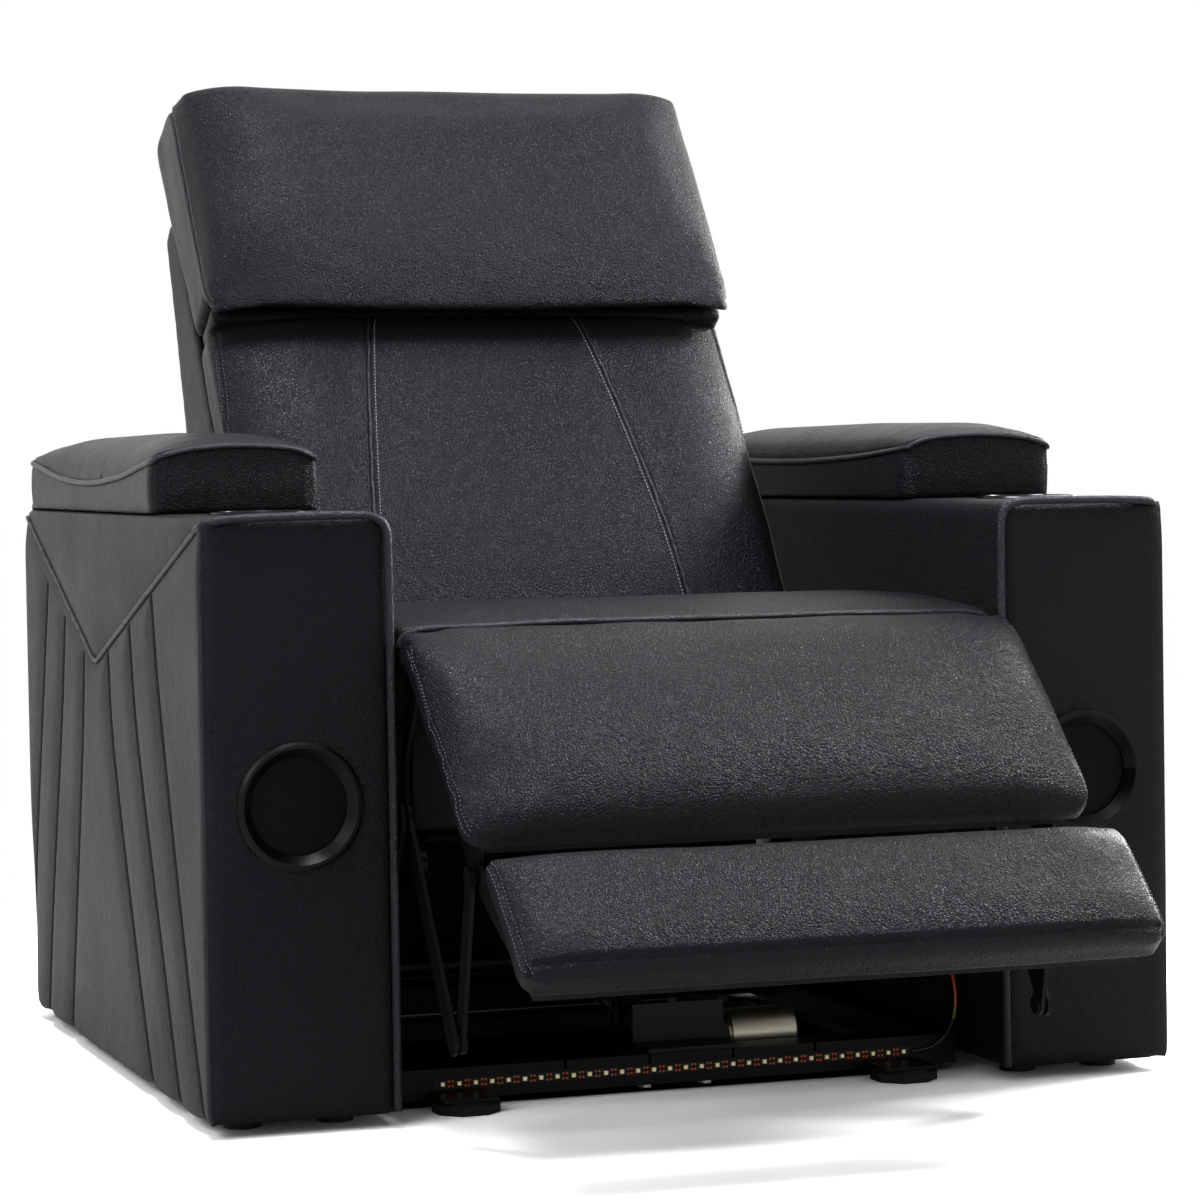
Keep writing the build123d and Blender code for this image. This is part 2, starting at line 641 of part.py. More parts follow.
def seat_cushion():
    """Crowned cushion whose nose overhangs the seat box; its rear leans with the back."""
    nose_z = SEAT_TOP - NOSE_HEIGHT
    shoulder = BOX_FRONT_Y + 0.5
    crown = Spline((-10, SEAT_TOP - 4), (50, SEAT_TOP + SEAT_CROWN - 3),
                   (240, SEAT_TOP + SEAT_CROWN), (SEAT_REAR_Y, SEAT_TOP - 6))
    rest = Polyline(
        (SEAT_REAR_Y, SEAT_TOP - 6), (SEAT_REAR_Y - 16, SEAT_BASE + 54),
        (SEAT_REAR_Y - 45, SEAT_BASE), (shoulder, SEAT_BASE), (shoulder, nose_z - 4),
        (0, nose_z), (0, SEAT_TOP - 13), (-10, SEAT_TOP - 4),
    )
    side = across(make_face(crown + rest), (-SEAT_HALF, SEAT_HALF))
    middle = (SEAT_TOP + SEAT_BASE) / 2
    front = Pos(0, middle) * Rectangle(2 * SEAT_HALF, SEAT_TOP - SEAT_BASE + 20)
    front = fillet(front.vertices().sort_by(Axis.Y)[-2:], 16)
    return side & Pos(0, SEAT_REAR_Y + 10, 0) * extrude(Plane.XZ * front, SEAT_REAR_Y + 40)


def seat_apron():
    half = BRACKET_X[1]
    z = (BOX_LOW - 1, SEAT_TOP - NOSE_HEIGHT - 7)
    return block((-half, half), (BOX_FRONT_Y - APRON, BOX_FRONT_Y), z)


def seat_hinge_ears():
    """Ears on the seat box's front rail that carry the footrest hinge."""
    foot = (BOX_FRONT_Y - 4, SEAT_BASE - 24)
    ear = strap(foot, KNEE, 18, LINK_X) + bar(KNEE, 13, LINK_X)
    ear &= block(LINK_X, (KNEE_Y - 20, BOX_FRONT_Y), (0, SEAT_TOP))
    ear += block(LINK_X, (BOX_FRONT_Y - 10, BOX_FRONT_Y), (BOX_LOW + 20, SEAT_BASE - 8))
    ear += rivet(KNEE, LINK_X[0], BRACKET_X[0] - RIVET_PLAY)
    return [ear, other_side(ear)]


# ---- footrest --------------------------------------------------------------------------------
FOOT = Pos(0, KNEE_Y, KNEE_Z) * Rot(-FOOT_ANGLE, 0, 0)


def hanging(along, ahead):
    """A footrest point as if it hung straight down: along it, and ahead of its hinge line."""
    return (-ahead, -along)


def footrest_point(along, ahead):
    return plus(KNEE, turned(hanging(along, ahead), FOOT_ANGLE))


def rounded_column(width, depth, radius, z):
    """Upright column round the origin's plane whose two front corners are rounded."""
    plan = fillet(Rectangle(width, 2 * depth).vertices().sort_by(Axis.Y)[:2], radius)
    return Pos(0, 0, z[0]) * extrude(plan, z[1] - z[0])


def calf_rear(along):
    """The calf pad's flat rear, and the board on it."""
    return -16 + (along - 8) * 14 / (CALF_LENGTH - 14)


def calf_pad():
    end, knee = CALF_LENGTH, KNEE_RADIUS
    slant = knee * 0.7071
    crown = Spline(
        hanging(0, knee), hanging(45, CALF_CROWN - 6), hanging(120, CALF_CROWN),
        hanging(end - 70, CALF_CROWN - 4), hanging(end - 14, CALF_CROWN - 20), hanging(end, 8),
    )
    rear = Polyline(
        hanging(end, 8), hanging(end - 6, calf_rear(end - 6)), hanging(8, calf_rear(8)),
        hanging(-slant, -slant),
    )
    top = ThreePointArc(hanging(-slant, -slant), hanging(-knee, 0), hanging(0, knee))
    pad = across(make_face(crown + rear + top), (-PAD_WIDTH / 2, PAD_WIDTH / 2))
    pad &= rounded_column(PAD_WIDTH, CALF_CROWN + 2, 26, (-end - 10, 40))
    for side in (-1, 1):
        x = sorted((side * (BRACKET_X[0] - 6), side * (LINK_X[1] + 2)))
        pad -= block(x, (-15, 40), (-64, 40))
    return FOOT * pad


def foot_pad():
    start, end = FOOT_START, FOOT_START + FOOT_LENGTH
    crown = Spline(
        hanging(start, FOOT_REAR + 14), hanging(start + 12, FOOT_CROWN - 10),
        hanging(start + 75, FOOT_CROWN), hanging(end - 14, FOOT_CROWN - 3), hanging(end, FOOT_CROWN - 14),
    )
    rest = Polyline(
        hanging(end, FOOT_CROWN - 14), hanging(end - 4, FOOT_REAR), hanging(start + 4, FOOT_REAR),
        hanging(start, FOOT_REAR + 14),
    )
    pad = across(make_face(crown + rest), (-PAD_WIDTH / 2, PAD_WIDTH / 2))
    return FOOT * (pad & rounded_column(PAD_WIDTH, FOOT_CROWN + 2, 22, (-end - 10, 0)))


def footrest_boards():
    """Plywood behind the two pads."""
    a, b = 50, CALF_LENGTH - 14
    calf = across(polygon([
        hanging(a, calf_rear(a)), hanging(b, calf_rear(b)),
        hanging(b, calf_rear(b) - 10), hanging(a, calf_rear(a) - 10),
    ]), (-BRACKET_X[0], BRACKET_X[0]))
    foot_z = (-FOOT_START - FOOT_LENGTH + 12, -FOOT_START - 10)
    foot = block((-BRACKET_X[1], BRACKET_X[1]), (-FOOT_REAR, FOOT_BOARD - FOOT_REAR), foot_z)
    return [FOOT * calf, FOOT * foot]


def footrest_brackets():
    """Steel side brackets that carry both boards, hinged at the seat and driven by the links."""
    moving = hanging(BRACKET_ALONG, -BRACKET_BEHIND)
    elbow = hanging(70, -36)
    foot_rear = FOOT_REAR - FOOT_BOARD
    end = FOOT_START + FOOT_LENGTH - 20
    flange_x = (BRACKET_X[0] - 24, BRACKET_X[1])
    bracket = strap(hanging(0, 0), elbow, 24, BRACKET_X) + strap(elbow, moving, 26, BRACKET_X)
    bracket += across(polygon([
        hanging(BRACKET_ALONG - 20, 4 - BRACKET_BEHIND), hanging(BRACKET_ALONG + 8, -8 - BRACKET_BEHIND),
        hanging(end, foot_rear - 10), hanging(end, foot_rear), hanging(FOOT_START + 12, foot_rear),
    ]), BRACKET_X)
    board = [hanging(a, calf_rear(a) - 10) for a in (55, CALF_LENGTH - 20)]
    web = board + [hanging(BRACKET_ALONG, 6 - BRACKET_BEHIND), hanging(70, -40)]
    bracket += across(polygon(web), BRACKET_X)
    tab = [hanging(90, calf_rear(90) - 10), hanging(200, calf_rear(200) - 10)]
    tab += [hanging(200, calf_rear(200) - 13), hanging(90, calf_rear(90) - 13)]
    bracket += across(polygon(tab), flange_x)
    middle = -FOOT_START - FOOT_LENGTH / 2
    bracket += block(flange_x, (-foot_rear, 3 - foot_rear), (middle - 40, middle + 40))
    bracket += rivet(moving, BRACKET_X[1], LINK_X[1] + RIVET_PLAY)
    bracket = FOOT * (bracket - bar((0, 0), PIN + RUNNING, BRACKET_X))
    return [bracket, other_side(bracket)]


# ---- footrest linkage ------------------------------------------------------------------------
# The bracket, the coupler, the crank and the side plate make one parallelogram; the crank's short
# arm, the push link and the torque tube's arm make the other.
MOVING = footrest_point(BRACKET_ALONG, -BRACKET_BEHIND)
CRANK_END = plus(CRANK, (MOVING[0] - KNEE[0], MOVING[1] - KNEE[1]))
PIVOT_RUN = (TORQUE_Y - CRANK_Y, TORQUE_Z - CRANK_Z)
LEVER = [CRANK_LEVER * part / hypot(*PIVOT_RUN) for part in (PIVOT_RUN[1], -PIVOT_RUN[0])]
CRANK_SHORT = plus(CRANK, LEVER)
TORQUE_END = plus(TORQUE, LEVER)


def crank():
    """Bell crank: its long arm stays parallel to the footrest, its short arm is pushed."""
    plate = strap(CRANK, CRANK_END, LINK_WIDTH, CRANK_X)
    plate += strap(CRANK, CRANK_SHORT, LINK_WIDTH, CRANK_X) + bar(CRANK, 14, CRANK_X)
    plate += rivet(CRANK_END, CRANK_X[0], LINK_X[0] - RIVET_PLAY)
    plate += rivet(CRANK_SHORT, CRANK_X[0], LINK_X[0] - RIVET_PLAY)
    return plate - bar(CRANK, PIN + RUNNING, CRANK_X)


def link(driven, free):
    """Link that turns on a rivet at one end and meets the open pivot of its chain at the other."""
    plate = strap(free, driven, LINK_WIDTH - 2, LINK_X)
    return plate - bar(driven, PIN + RUNNING, LINK_X) - bar(free, PIN + OPEN_PIVOT, LINK_X)


def lever_lean(swing):
    """Angle of a drive lever in the modelled pose, so that it swings evenly about its rail."""
    return -(swing[0] + swing[1]) / 2


def drive_fork(height, swing, root):
    """Two slotted cheeks that hang below a pivot, for the trunnions of a nut on a straight rail.

    The nut moves evenly with the angle, so the slot is wider by the most that this strays."""
    lean = lever_lean(swing)
    strays, lengths = [], []
    for i in range(25):
        angle = swing[0] + i * (swing[1] - swing[0]) / 24
        true = height * (tan(radians(angle + lean)) - tan(radians(lean)))
        strays.append(abs(true - nut_travel(height, swing, angle)) * cos(radians(angle + lean)))
        lengths.append(height / cos(radians(angle + lean)))
    half_slot = TRUNNION + max(strays) + SLOT_PLAY
    wide = half_slot + 6
    reach = max(lengths) + TRUNNION + SLOT_PLAY + 4
    outline = polygon([root[0], root[1], (wide, 12 - height), (wide, -reach), (-wide, -reach),
                       (-wide, 12 - height)])
    slot = block((-30, 30), (-half_slot, half_slot), (-reach + 4, 8 - height))
    cheeks = None
    for side in (-1, 1):
        x = sorted((side * (NUT_HALF + 1), side * (NUT_HALF + 1 + PLATE)))
        cheek = across(outline, x)
        cheeks = cheek if cheeks is None else cheeks + cheek
    return Rot(-lean, 0, 0) * (cheeks - slot)


def nut_travel(height, swing, angle):
    """Nut movement for a lever angle: even travel that fits both ends of the swing."""
    span = radians(swing[1] - swing[0])
    edge = (swing[1] - swing[0]) / 2
    full = 2 * height * tan(radians(edge))
    share = EVEN_SHARE if edge > 30 else 1
    return share * full * radians(angle) / span


def nut_offset(height, swing):
    """Nut position behind a pivot in the modelled pose."""
    return -height * tan(radians(lever_lean(swing)))


def torque_tube():
    """Cross tube with an arm to each push link and a slotted fork for the drive's nut."""
    tube = bar(TORQUE, TORQUE_RADIUS, (-CRANK_X[1], CRANK_X[1]))
    tube += bar(TORQUE, JOURNAL, (-PLATE_IN - PLATE, PLATE_IN + PLATE))
    arm = strap(TORQUE, TORQUE_END, LINK_WIDTH, CRANK_X)
    arm += rivet(TORQUE_END, CRANK_X[0], LINK_X[0] - RIVET_PLAY)
    tube += arm + other_side(arm)
    fork = drive_fork(TORQUE_Z - DRIVE_Z, FOOT_SWING, [(-10, 0), (10, 0)])
    return tube + Pos(DRIVE_X, TORQUE_Y, TORQUE_Z) * fork


def nut():
    """Drive nut with its two trunnions, bored for the rail."""
    body = block((-NUT_HALF, NUT_HALF), (-NUT_LENGTH / 2, NUT_LENGTH / 2), (-12, 12))
    body += bar((0, 0), TRUNNION, (-NUT_HALF - PLATE - 3, NUT_HALF + PLATE + 3))
    return body - Rot(90, 0, 0) * Cylinder(DRIVE_RAIL + RUNNING, 60)


def along_rail(radius, y):
    return Pos(0, (y[0] + y[1]) / 2, 0) * Rot(90, 0, 0) * Cylinder(radius, y[1] - y[0])


def gearbox(rail_length):
    """Round worm gearbox with its rail tube behind it; the rail's centre line is the Y axis."""
    drum = along_rail(GEARBOX_RADIUS, (0, GEARBOX_LENGTH - 14))
    drum = fillet(drum.edges().group_by(Axis.Y)[0], 3)
    drum += along_rail(GEARBOX_RADIUS - 8, (GEARBOX_LENGTH - 14, GEARBOX_LENGTH))
    drum += along_rail(DRIVE_RAIL, (GEARBOX_LENGTH, rail_length))
    return drum + along_rail(DRIVE_RAIL + 3, (rail_length - 8, rail_length))


def motor(side):
    """Motor can on a flat flange at the gearbox's side."""
    start = GEARBOX_RADIUS
    can = bar((GEARBOX_LENGTH / 2 - 7, 0), MOTOR_RADIUS, (start + 3, start + MOTOR_LENGTH))
    can = fillet(can.edges().group_by(Axis.X)[-1], 4)
    can += bar((GEARBOX_LENGTH / 2 - 7, 0), 20, (start, start + 3))
    can += bar((GEARBOX_LENGTH / 2 - 7, 0), 8, (start + MOTOR_LENGTH, start + MOTOR_LENGTH + 5))
    return can if side > 0 else other_side(can)


def make_base():
    parts["floor_glides"] = floor_glides()
    parts["front_rail"] = front_rail()
    parts["base_frame"] = base_frame()
    parts["side_plate_left"] = side_plate()
    parts["side_plate_right"] = other_side(side_plate())
    parts["led_strip"] = led_strip()
    parts["led_lead"] = led_lead()
    parts["rail_bolts"] = rail_bolts()
    parts["control_box"] = control_box()
    parts["seat_frame"] = seat_frame()
    parts["seat_springs"] = seat_springs()
    parts["seat_cushion"] = seat_cushion()
    parts["seat_apron"] = seat_apron()
    parts["seat_hinge_ears"] = seat_hinge_ears()


def make_footrest():
    parts["calf_pad"] = calf_pad()
    parts["foot_pad"] = foot_pad()
    parts["footrest_boards"] = footrest_boards()
    parts["footrest_brackets"] = footrest_brackets()
    links = {
        "crank": crank(), "coupler": link(MOVING, CRANK_END),
        "push_link": link(TORQUE_END, CRANK_SHORT),
    }
    for name, piece in links.items():
        parts[name + "_left"] = piece
        parts[name + "_right"] = other_side(piece)
    parts["torque_tube"] = torque_tube()
    nut_y = TORQUE_Y + nut_offset(TORQUE_Z - DRIVE_Z, FOOT_SWING)
    parts["footrest_nut"] = Pos(DRIVE_X, nut_y, DRIVE_Z) * nut()
    place = Pos(DRIVE_X, GEARBOX_Y, DRIVE_Z)
    bracket_y = (GEARBOX_Y - PLATE, GEARBOX_Y)
    bracket = block((-28, 68), bracket_y, (RAIL_TOP, 79))
    bracket += block((-28, 68), (RAIL_Y + 4, GEARBOX_Y), (RAIL_TOP, RAIL_TOP + PLATE))
    parts["footrest_gearbox"] = place * gearbox(TORQUE_Y + 72 - GEARBOX_Y) + bracket
    parts["footrest_motor"] = place * motor(1)


# ---- back ------------------------------------------------------------------------------------
LEAN = Pos(0, BACK_Y, BACK_Z) * Rot(-RECLINE, 0, 0)


def upright(ahead, along):
    """A point of the back as if it stood upright on its pivot."""
    return (-ahead, along)


def back_cushion():
    low = 4
    crown = Spline(
        upright(BACK_FACE - 6, low), upright(BACK_FACE + BACK_CROWN, 130),
        upright(BACK_FACE + BACK_CROWN, 260), upright(BACK_FACE, BACK_TOP),
    )
    rest = Polyline(
        upright(BACK_FACE, BACK_TOP), upright(BACK_REAR, BACK_TOP), upright(BACK_REAR, low),
        upright(BACK_FACE - 6, low),
    )
    cushion = across(make_face(crown + rest), (-SEAT_HALF, SEAT_HALF))
    cushion &= rounded_column(2 * SEAT_HALF, BACK_FACE + BACK_CROWN, 26, (0, BACK_TOP))
    for side in (-1, 1):
        x = sorted((side * (POST_OUT - 1), side * (SEAT_HALF + 1)))
        cushion -= block(x, (-BACK_PIN - 24, 0), (0, BACK_PIN + 24))
    return LEAN * (cushion - block((-LEVER_ROOM, LEVER_ROOM), (-72, 0), (BACK_TOP - 38, BACK_TOP)))


def back_frame():
    """Wooden posts, set back behind the headrest, and three cross rails."""
    lower = (-BACK_REAR, FRAME_DEPTH - BACK_REAR)
    upper = (UPPER_SET, UPPER_SET + FRAME_DEPTH - 4)
    frame = None
    for side in (-1, 1):
        x = sorted((side * (POST_OUT - POST), side * POST_OUT))
        post = block(x, lower, (BACK_FOOT, MID_RAIL + 36)) + block(x, upper, (MID_RAIL, FRAME_TOP))
        frame = post if frame is None else frame + post
    span = (-POST_OUT, POST_OUT)
    frame += block(span, lower, (BACK_FOOT, BACK_FOOT + 34))
    frame += block(span, lower, (MID_RAIL, MID_RAIL + 34))
    return LEAN * (frame + block(span, upper, (FRAME_TOP - 34, FRAME_TOP)))


def shell_outline(wall):
    """Side outline of the outside back, thicker towards its foot."""
    front = SHELL_FRONT + (1 if wall else 0)
    i = wall
    bends = [upright(i - depth, along) for depth, along in SHELL_BENDS]
    top = [upright(front, SHELL_TOP - 23 - i), upright(-50, SHELL_TOP - i),
           upright(i - SHELL_TOP_DEPTH, SHELL_TOP - 1 - i)]
    foot = [upright(i - SHELL_FOOT_DEPTH, SHELL_FOOT - i), upright(-62, SHELL_FOOT - i),
            upright(front, SHELL_FOOT + 64)]
    return polygon(top + bends + foot)


def outside_back():
    half = SHELL_WIDTH / 2
    shell = across(shell_outline(0), (-half, half))
    return LEAN * (shell - across(shell_outline(SHELL_WALL), (-POST_OUT, POST_OUT)))


def back_brackets():
    """Steel on the back's frame: recline plates, the drive lever and the headrest's ears."""
    x = (POST_OUT, POST_OUT + BRACKET_SHEET)
    plate = strap(upright(0, 0), upright(-2, 150), 24, x) + bar((0, 0), 20, x)
    plate += strap(upright(0, 0), upright(-2, -34), 24, x)
    plate = LEAN * (plate - bar((0, 0), BACK_PIN + RUNNING, (x[0] - 1, x[1] + 1)))
    lean = lever_lean(BACK_SWING)
    rail_foot = [upright(BACK_REAR, BACK_FOOT), upright(BACK_REAR - FRAME_DEPTH, BACK_FOOT)]
    root = [turned(turned(point, RECLINE), -lean) for point in rail_foot]
    lever = Pos(0, BACK_Y, BACK_Z) * drive_fork(BACK_LEVER, BACK_SWING, root)
    flange = block((-26, 26), (-BACK_REAR, FRAME_DEPTH - BACK_REAR), (BACK_FOOT - 4, BACK_FOOT))
    pieces = [plate, other_side(plate), Pos(BACK_DRIVE_X, 0, 0) * (lever + LEAN * flange)]
    ear_x = (HEAD_BRACKET_X - 3, HEAD_BRACKET_X + 3)
    rail_top = MID_RAIL + 34
    bar_z = (HEAD_ALONG - 11, HEAD_ALONG + 1)
    ear = block(ear_x, (-HEAD_AHEAD, 10), bar_z) + bar(upright(HEAD_AHEAD, HEAD_ALONG), 9, ear_x)
    ear &= block(ear_x, (-HEAD_AHEAD - 9, 10), (BACK_TOP + 1, HEAD_ALONG + 9))
    ear += block(ear_x, (-BACK_REAR + 1, 10), (rail_top, HEAD_ALONG + 1))
    ear += block((HEAD_BRACKET_X - 18, HEAD_BRACKET_X + 18), (-BACK_REAR + 1, 10), (rail_top, rail_top + 3))
    ear = LEAN * (ear - bar(upright(HEAD_AHEAD, HEAD_ALONG), HEAD_PIN + RUNNING, ear_x))
    return pieces + [ear, other_side(ear)]


# ---- headrest --------------------------------------------------------------------------------
def head_rear(along):
    """The headrest's rear plane, which leans a little behind the back's own."""
    return HEAD_REAR - (along - HEAD_LOW) * HEAD_LEAN


def headrest_outline():
    crown = Spline(*[upright(*point) for point in HEAD_FACE], tangents=((-0.2, 1), (0.1, 1)))
    top = [upright(*point) for point in HEAD_TOP]
    rear = [upright(head_rear(along), along) for along in (HEAD_HIGH, HEAD_LOW)]
    under = [upright(HEAD_FACE[0][0] - 27, HEAD_LOW), upright(*HEAD_FACE[0])]
    rest = Polyline(upright(*HEAD_FACE[-1]), *top, *rear, *under)
    return make_face(crown + rest)


def head_board():
    a, b = HEAD_LOW + 14, HEAD_HIGH - 17
    outline = polygon([
        upright(head_rear(a), a), upright(head_rear(b), b),
        upright(head_rear(b) + HEAD_BOARD, b), upright(head_rear(a) + HEAD_BOARD, a),
    ])
    return across(outline, (-HEAD_WIDTH / 2 + 45, HEAD_WIDTH / 2 - 45))


def headrest_pad():
    pad = across(headrest_outline(), (-HEAD_WIDTH / 2, HEAD_WIDTH / 2))
    pad &= rounded_column(HEAD_WIDTH, HEAD_FACE[2][0] + 6, 30, (HEAD_LOW - 38, HEAD_HIGH + 53))
    hinge = upright(HEAD_AHEAD, HEAD_ALONG)
    span = (-HEAD_BRACKET_X - 14, HEAD_BRACKET_X + 14)
    pad -= head_board() + bar(hinge, HEAD_PIN + 2, span)
    slot_z = (HEAD_LOW - 38, HEAD_ALONG + 21)
    pad -= block((-LEVER_ROOM, LEVER_ROOM), (-HEAD_AHEAD - 16, 20), slot_z)
    for side in (-1, 1):
        x = sorted((side * (HEAD_BRACKET_X - 5), side * (HEAD_BRACKET_X + 12)))
        pad -= block(x, (-HEAD_AHEAD - 12, 20), (HEAD_LOW - 38, HEAD_ALONG + 13))
        ear_y = (-HEAD_AHEAD - 12, -head_rear(HEAD_LOW + 14) + 3)
        pad -= block(x, ear_y, (HEAD_LOW + 2, HEAD_ALONG + 77))
    return LEAN * pad


def headrest_frame():
    """Board, hinge shaft, the ears that join them, and the drive's fork on the shaft."""
    hinge = upright(HEAD_AHEAD, HEAD_ALONG)
    frame = head_board() + bar(hinge, HEAD_PIN, (-HEAD_BRACKET_X - 10, HEAD_BRACKET_X + 10))
    ear_x = (HEAD_BRACKET_X + 4, HEAD_BRACKET_X + 8)
    bend = HEAD_ALONG + 65
    ear = strap(hinge, upright(HEAD_AHEAD - 12, bend), 18, ear_x)
    ear += strap(upright(HEAD_AHEAD - 12, bend), upright(head_rear(bend) + 4, bend), 18, ear_x)
    ear &= block(ear_x, (-HEAD_AHEAD - 10, -head_rear(bend + 10)), (bend - 100, bend + 20))
    frame += ear + other_side(ear)
    fork = Rot(90, 0, 0) * drive_fork(HEAD_RAIL, HEAD_SWING, [(-9, 0), (9, 0)])
    return LEAN * (frame + Pos(0, *hinge) * fork)


def make_back():
    parts["back_cushion"] = back_cushion()
    parts["back_frame"] = back_frame()
    parts["outside_back"] = outside_back()
    parts["back_brackets"] = back_brackets()
    parts["headrest_frame"] = headrest_frame()
    parts["headrest_pad"] = headrest_pad()
    rail_z = BACK_Z - BACK_LEVER
    nut_y = BACK_Y + nut_offset(BACK_LEVER, BACK_SWING)
    parts["back_nut"] = Pos(BACK_DRIVE_X, nut_y, rail_z) * nut()
    place = Pos(BACK_DRIVE_X, BACK_GEARBOX_Y, rail_z)
    hanger = block((-25, 25), (15, SEAT_REAR_Y - BACK_GEARBOX_Y), (BOX_LOW - rail_z - 4, BOX_LOW - rail_z))
    hanger += block((-12, 12), (12, 36), (GEARBOX_RADIUS - 6, BOX_LOW - rail_z - 2))
    parts["back_gearbox"] = place * (gearbox(REAR_TUBE_Y + 18 - BACK_GEARBOX_Y) + hanger)
    parts["back_motor"] = place * motor(-1)
    head_rail = upright(HEAD_AHEAD - HEAD_RAIL, HEAD_ALONG)
    rail = LEAN * Pos(0, *head_rail) * Rot(90, 0, 0)
    parts["headrest_nut"] = rail * Pos(0, nut_offset(HEAD_RAIL, HEAD_SWING), 0) * nut()
    start = HEAD_GEARBOX - HEAD_ALONG
    drive = gearbox(HEAD_RAIL_LENGTH) + motor(1)
    lug = block((-20, 20), (18, MID_RAIL - HEAD_GEARBOX), (-GEARBOX_RADIUS - 4, -GEARBOX_RADIUS + 8))
    parts["headrest_actuator"] = rail * Pos(0, start, 0) * (drive + lug)


make_arms()
make_base()
make_footrest()
make_back()

for name, shape in parts.items():
    pieces = shape if isinstance(shape, list) else [shape]
    group = Compound([solid for piece in pieces for solid in piece.solids()])
    export_step(Pos(0, FRONT_Y, 0) * group, f"parts/{name}.step")
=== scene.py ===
from math import cos, pi, radians, sin

import bmesh
import bpy
import numpy as np
from mathutils import Matrix, Vector, noise
from mathutils.bvhtree import BVHTree
from mathutils.kdtree import KDTree


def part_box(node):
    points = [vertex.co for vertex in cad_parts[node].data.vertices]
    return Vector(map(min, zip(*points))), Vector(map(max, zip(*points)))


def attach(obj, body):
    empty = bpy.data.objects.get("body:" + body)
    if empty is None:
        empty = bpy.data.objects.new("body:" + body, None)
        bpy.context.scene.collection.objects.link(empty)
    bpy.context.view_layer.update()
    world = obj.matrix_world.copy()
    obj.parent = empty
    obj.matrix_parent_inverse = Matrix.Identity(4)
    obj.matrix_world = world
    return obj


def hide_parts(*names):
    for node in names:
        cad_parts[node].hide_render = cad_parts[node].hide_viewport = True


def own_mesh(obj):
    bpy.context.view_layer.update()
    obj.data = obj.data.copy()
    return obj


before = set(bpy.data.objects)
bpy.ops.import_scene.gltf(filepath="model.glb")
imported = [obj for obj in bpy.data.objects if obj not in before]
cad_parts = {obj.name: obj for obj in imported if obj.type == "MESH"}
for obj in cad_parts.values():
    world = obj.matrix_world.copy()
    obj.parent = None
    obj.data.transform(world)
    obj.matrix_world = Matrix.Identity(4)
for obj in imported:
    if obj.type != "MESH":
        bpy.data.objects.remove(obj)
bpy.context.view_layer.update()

# ---- camera --------------------------------------------------------------------------------------
# A long lens 3.7 m away, at the height of the armrests and on the side of the sitter's right
# arm. It looks a little down and stands very slightly turned about its own axis.
FRONT_Y = -0.314           # front face of the arms
CAMERA_PLACE = (-1.27172, -3.43085 + FRONT_Y, 0.63039)
CAMERA_PITCH, CAMERA_ROLL, CAMERA_YAW = -0.03885, 0.01645, -0.32784
CAMERA_LENS = 114.58

camera = bpy.data.objects.new("camera", bpy.data.cameras.new("camera"))
camera.data.lens = CAMERA_LENS
camera.data.clip_start = 0.1
turn = Matrix.Rotation(CAMERA_YAW, 4, "Z") @ Matrix.Rotation(CAMERA_PITCH, 4, "X")
turn = turn @ Matrix.Rotation(CAMERA_ROLL, 4, "Y") @ Matrix.Rotation(pi / 2, 4, "X")
camera.matrix_world = Matrix.Translation(CAMERA_PLACE) @ turn
bpy.context.scene.collection.objects.link(camera)
bpy.context.scene.camera = camera
bpy.context.scene.view_settings.view_transform = "Standard"


# ---- lead of the light strip ---------------------------------------------------------------------
# Thin two-colour lead, soldered to the end of the light strip. It loops up in front of the left
# side plate and goes through it. PVC-sheathed, orange above and green below, with a black sleeve
# shrunk over its lowest run.
LEAD_RADIUS = 0.0016
LEAD_CHANGE = 0.066        # height where the colour changes
SLEEVE_TOP = 0.055         # height where the black sleeve ends
LEAD_POINTS = (
    (250, 93.4, 22), (267, 93.4, 22), (283, 88, 32), (290, 79, 50), (291.5, 74, 72),
    (291, 78, 94), (290.5, 92, 111), (290.5, 106, 121), (300, 106, 121),
)


def at(x, y, z):
    """A place in millimetres from the middle, the arms' front face and the floor."""
    return Vector((x / 1000, y / 1000 + FRONT_Y, z / 1000))


def linear(colour):
    """An sRGB hex colour as the linear values that a shader takes."""
    parts = [int(colour[i:i + 2], 16) / 255 for i in (1, 3, 5)]
    return [p / 12.92 if p <= 0.04045 else ((p + 0.055) / 1.055) ** 2.4 for p in parts] + [1]


def result(source):
    """A node's own result, or the output that is given instead of a node."""
    if isinstance(source, bpy.types.Node):
        return next(output for output in source.outputs if output.enabled)
    return source


def add(tree, kind, settings=None):
    """A shader node with its properties and inputs; an input takes a value, a node or an output."""
    node = tree.nodes.new("ShaderNode" + kind)
    for key, value in (settings or {}).items():
        if isinstance(value, (bpy.types.Node, bpy.types.NodeSocket)):
            tree.links.new(result(value), node.inputs[key])
        elif isinstance(key, int) or key in node.inputs:
            node.inputs[key].default_value = value
        else:
            setattr(node, key, value)
    return node


def finish_of(name, **settings):
    """A material with its shader's own values set; also its node tree, its shader and its place."""
    material = bpy.data.materials.new(name)
    material.use_nodes = True
    tree = material.node_tree
    shader = tree.nodes["Principled BSDF"]
    for key, value in settings.items():
        shader.inputs[key.replace("_", " ")].default_value = value
    return material, tree, shader, add(tree, "TexCoord").outputs["Object"]


def wired(shader, **sources):
    """Joins nodes to a shader's inputs."""
    for key, source in sources.items():
        shader.id_data.links.new(result(source), shader.inputs[key.replace("_", " ")])


def linked(name, data):
    """A new object in the scene."""
    obj = bpy.data.objects.new(name, data)
    bpy.context.scene.collection.objects.link(obj)
    return obj


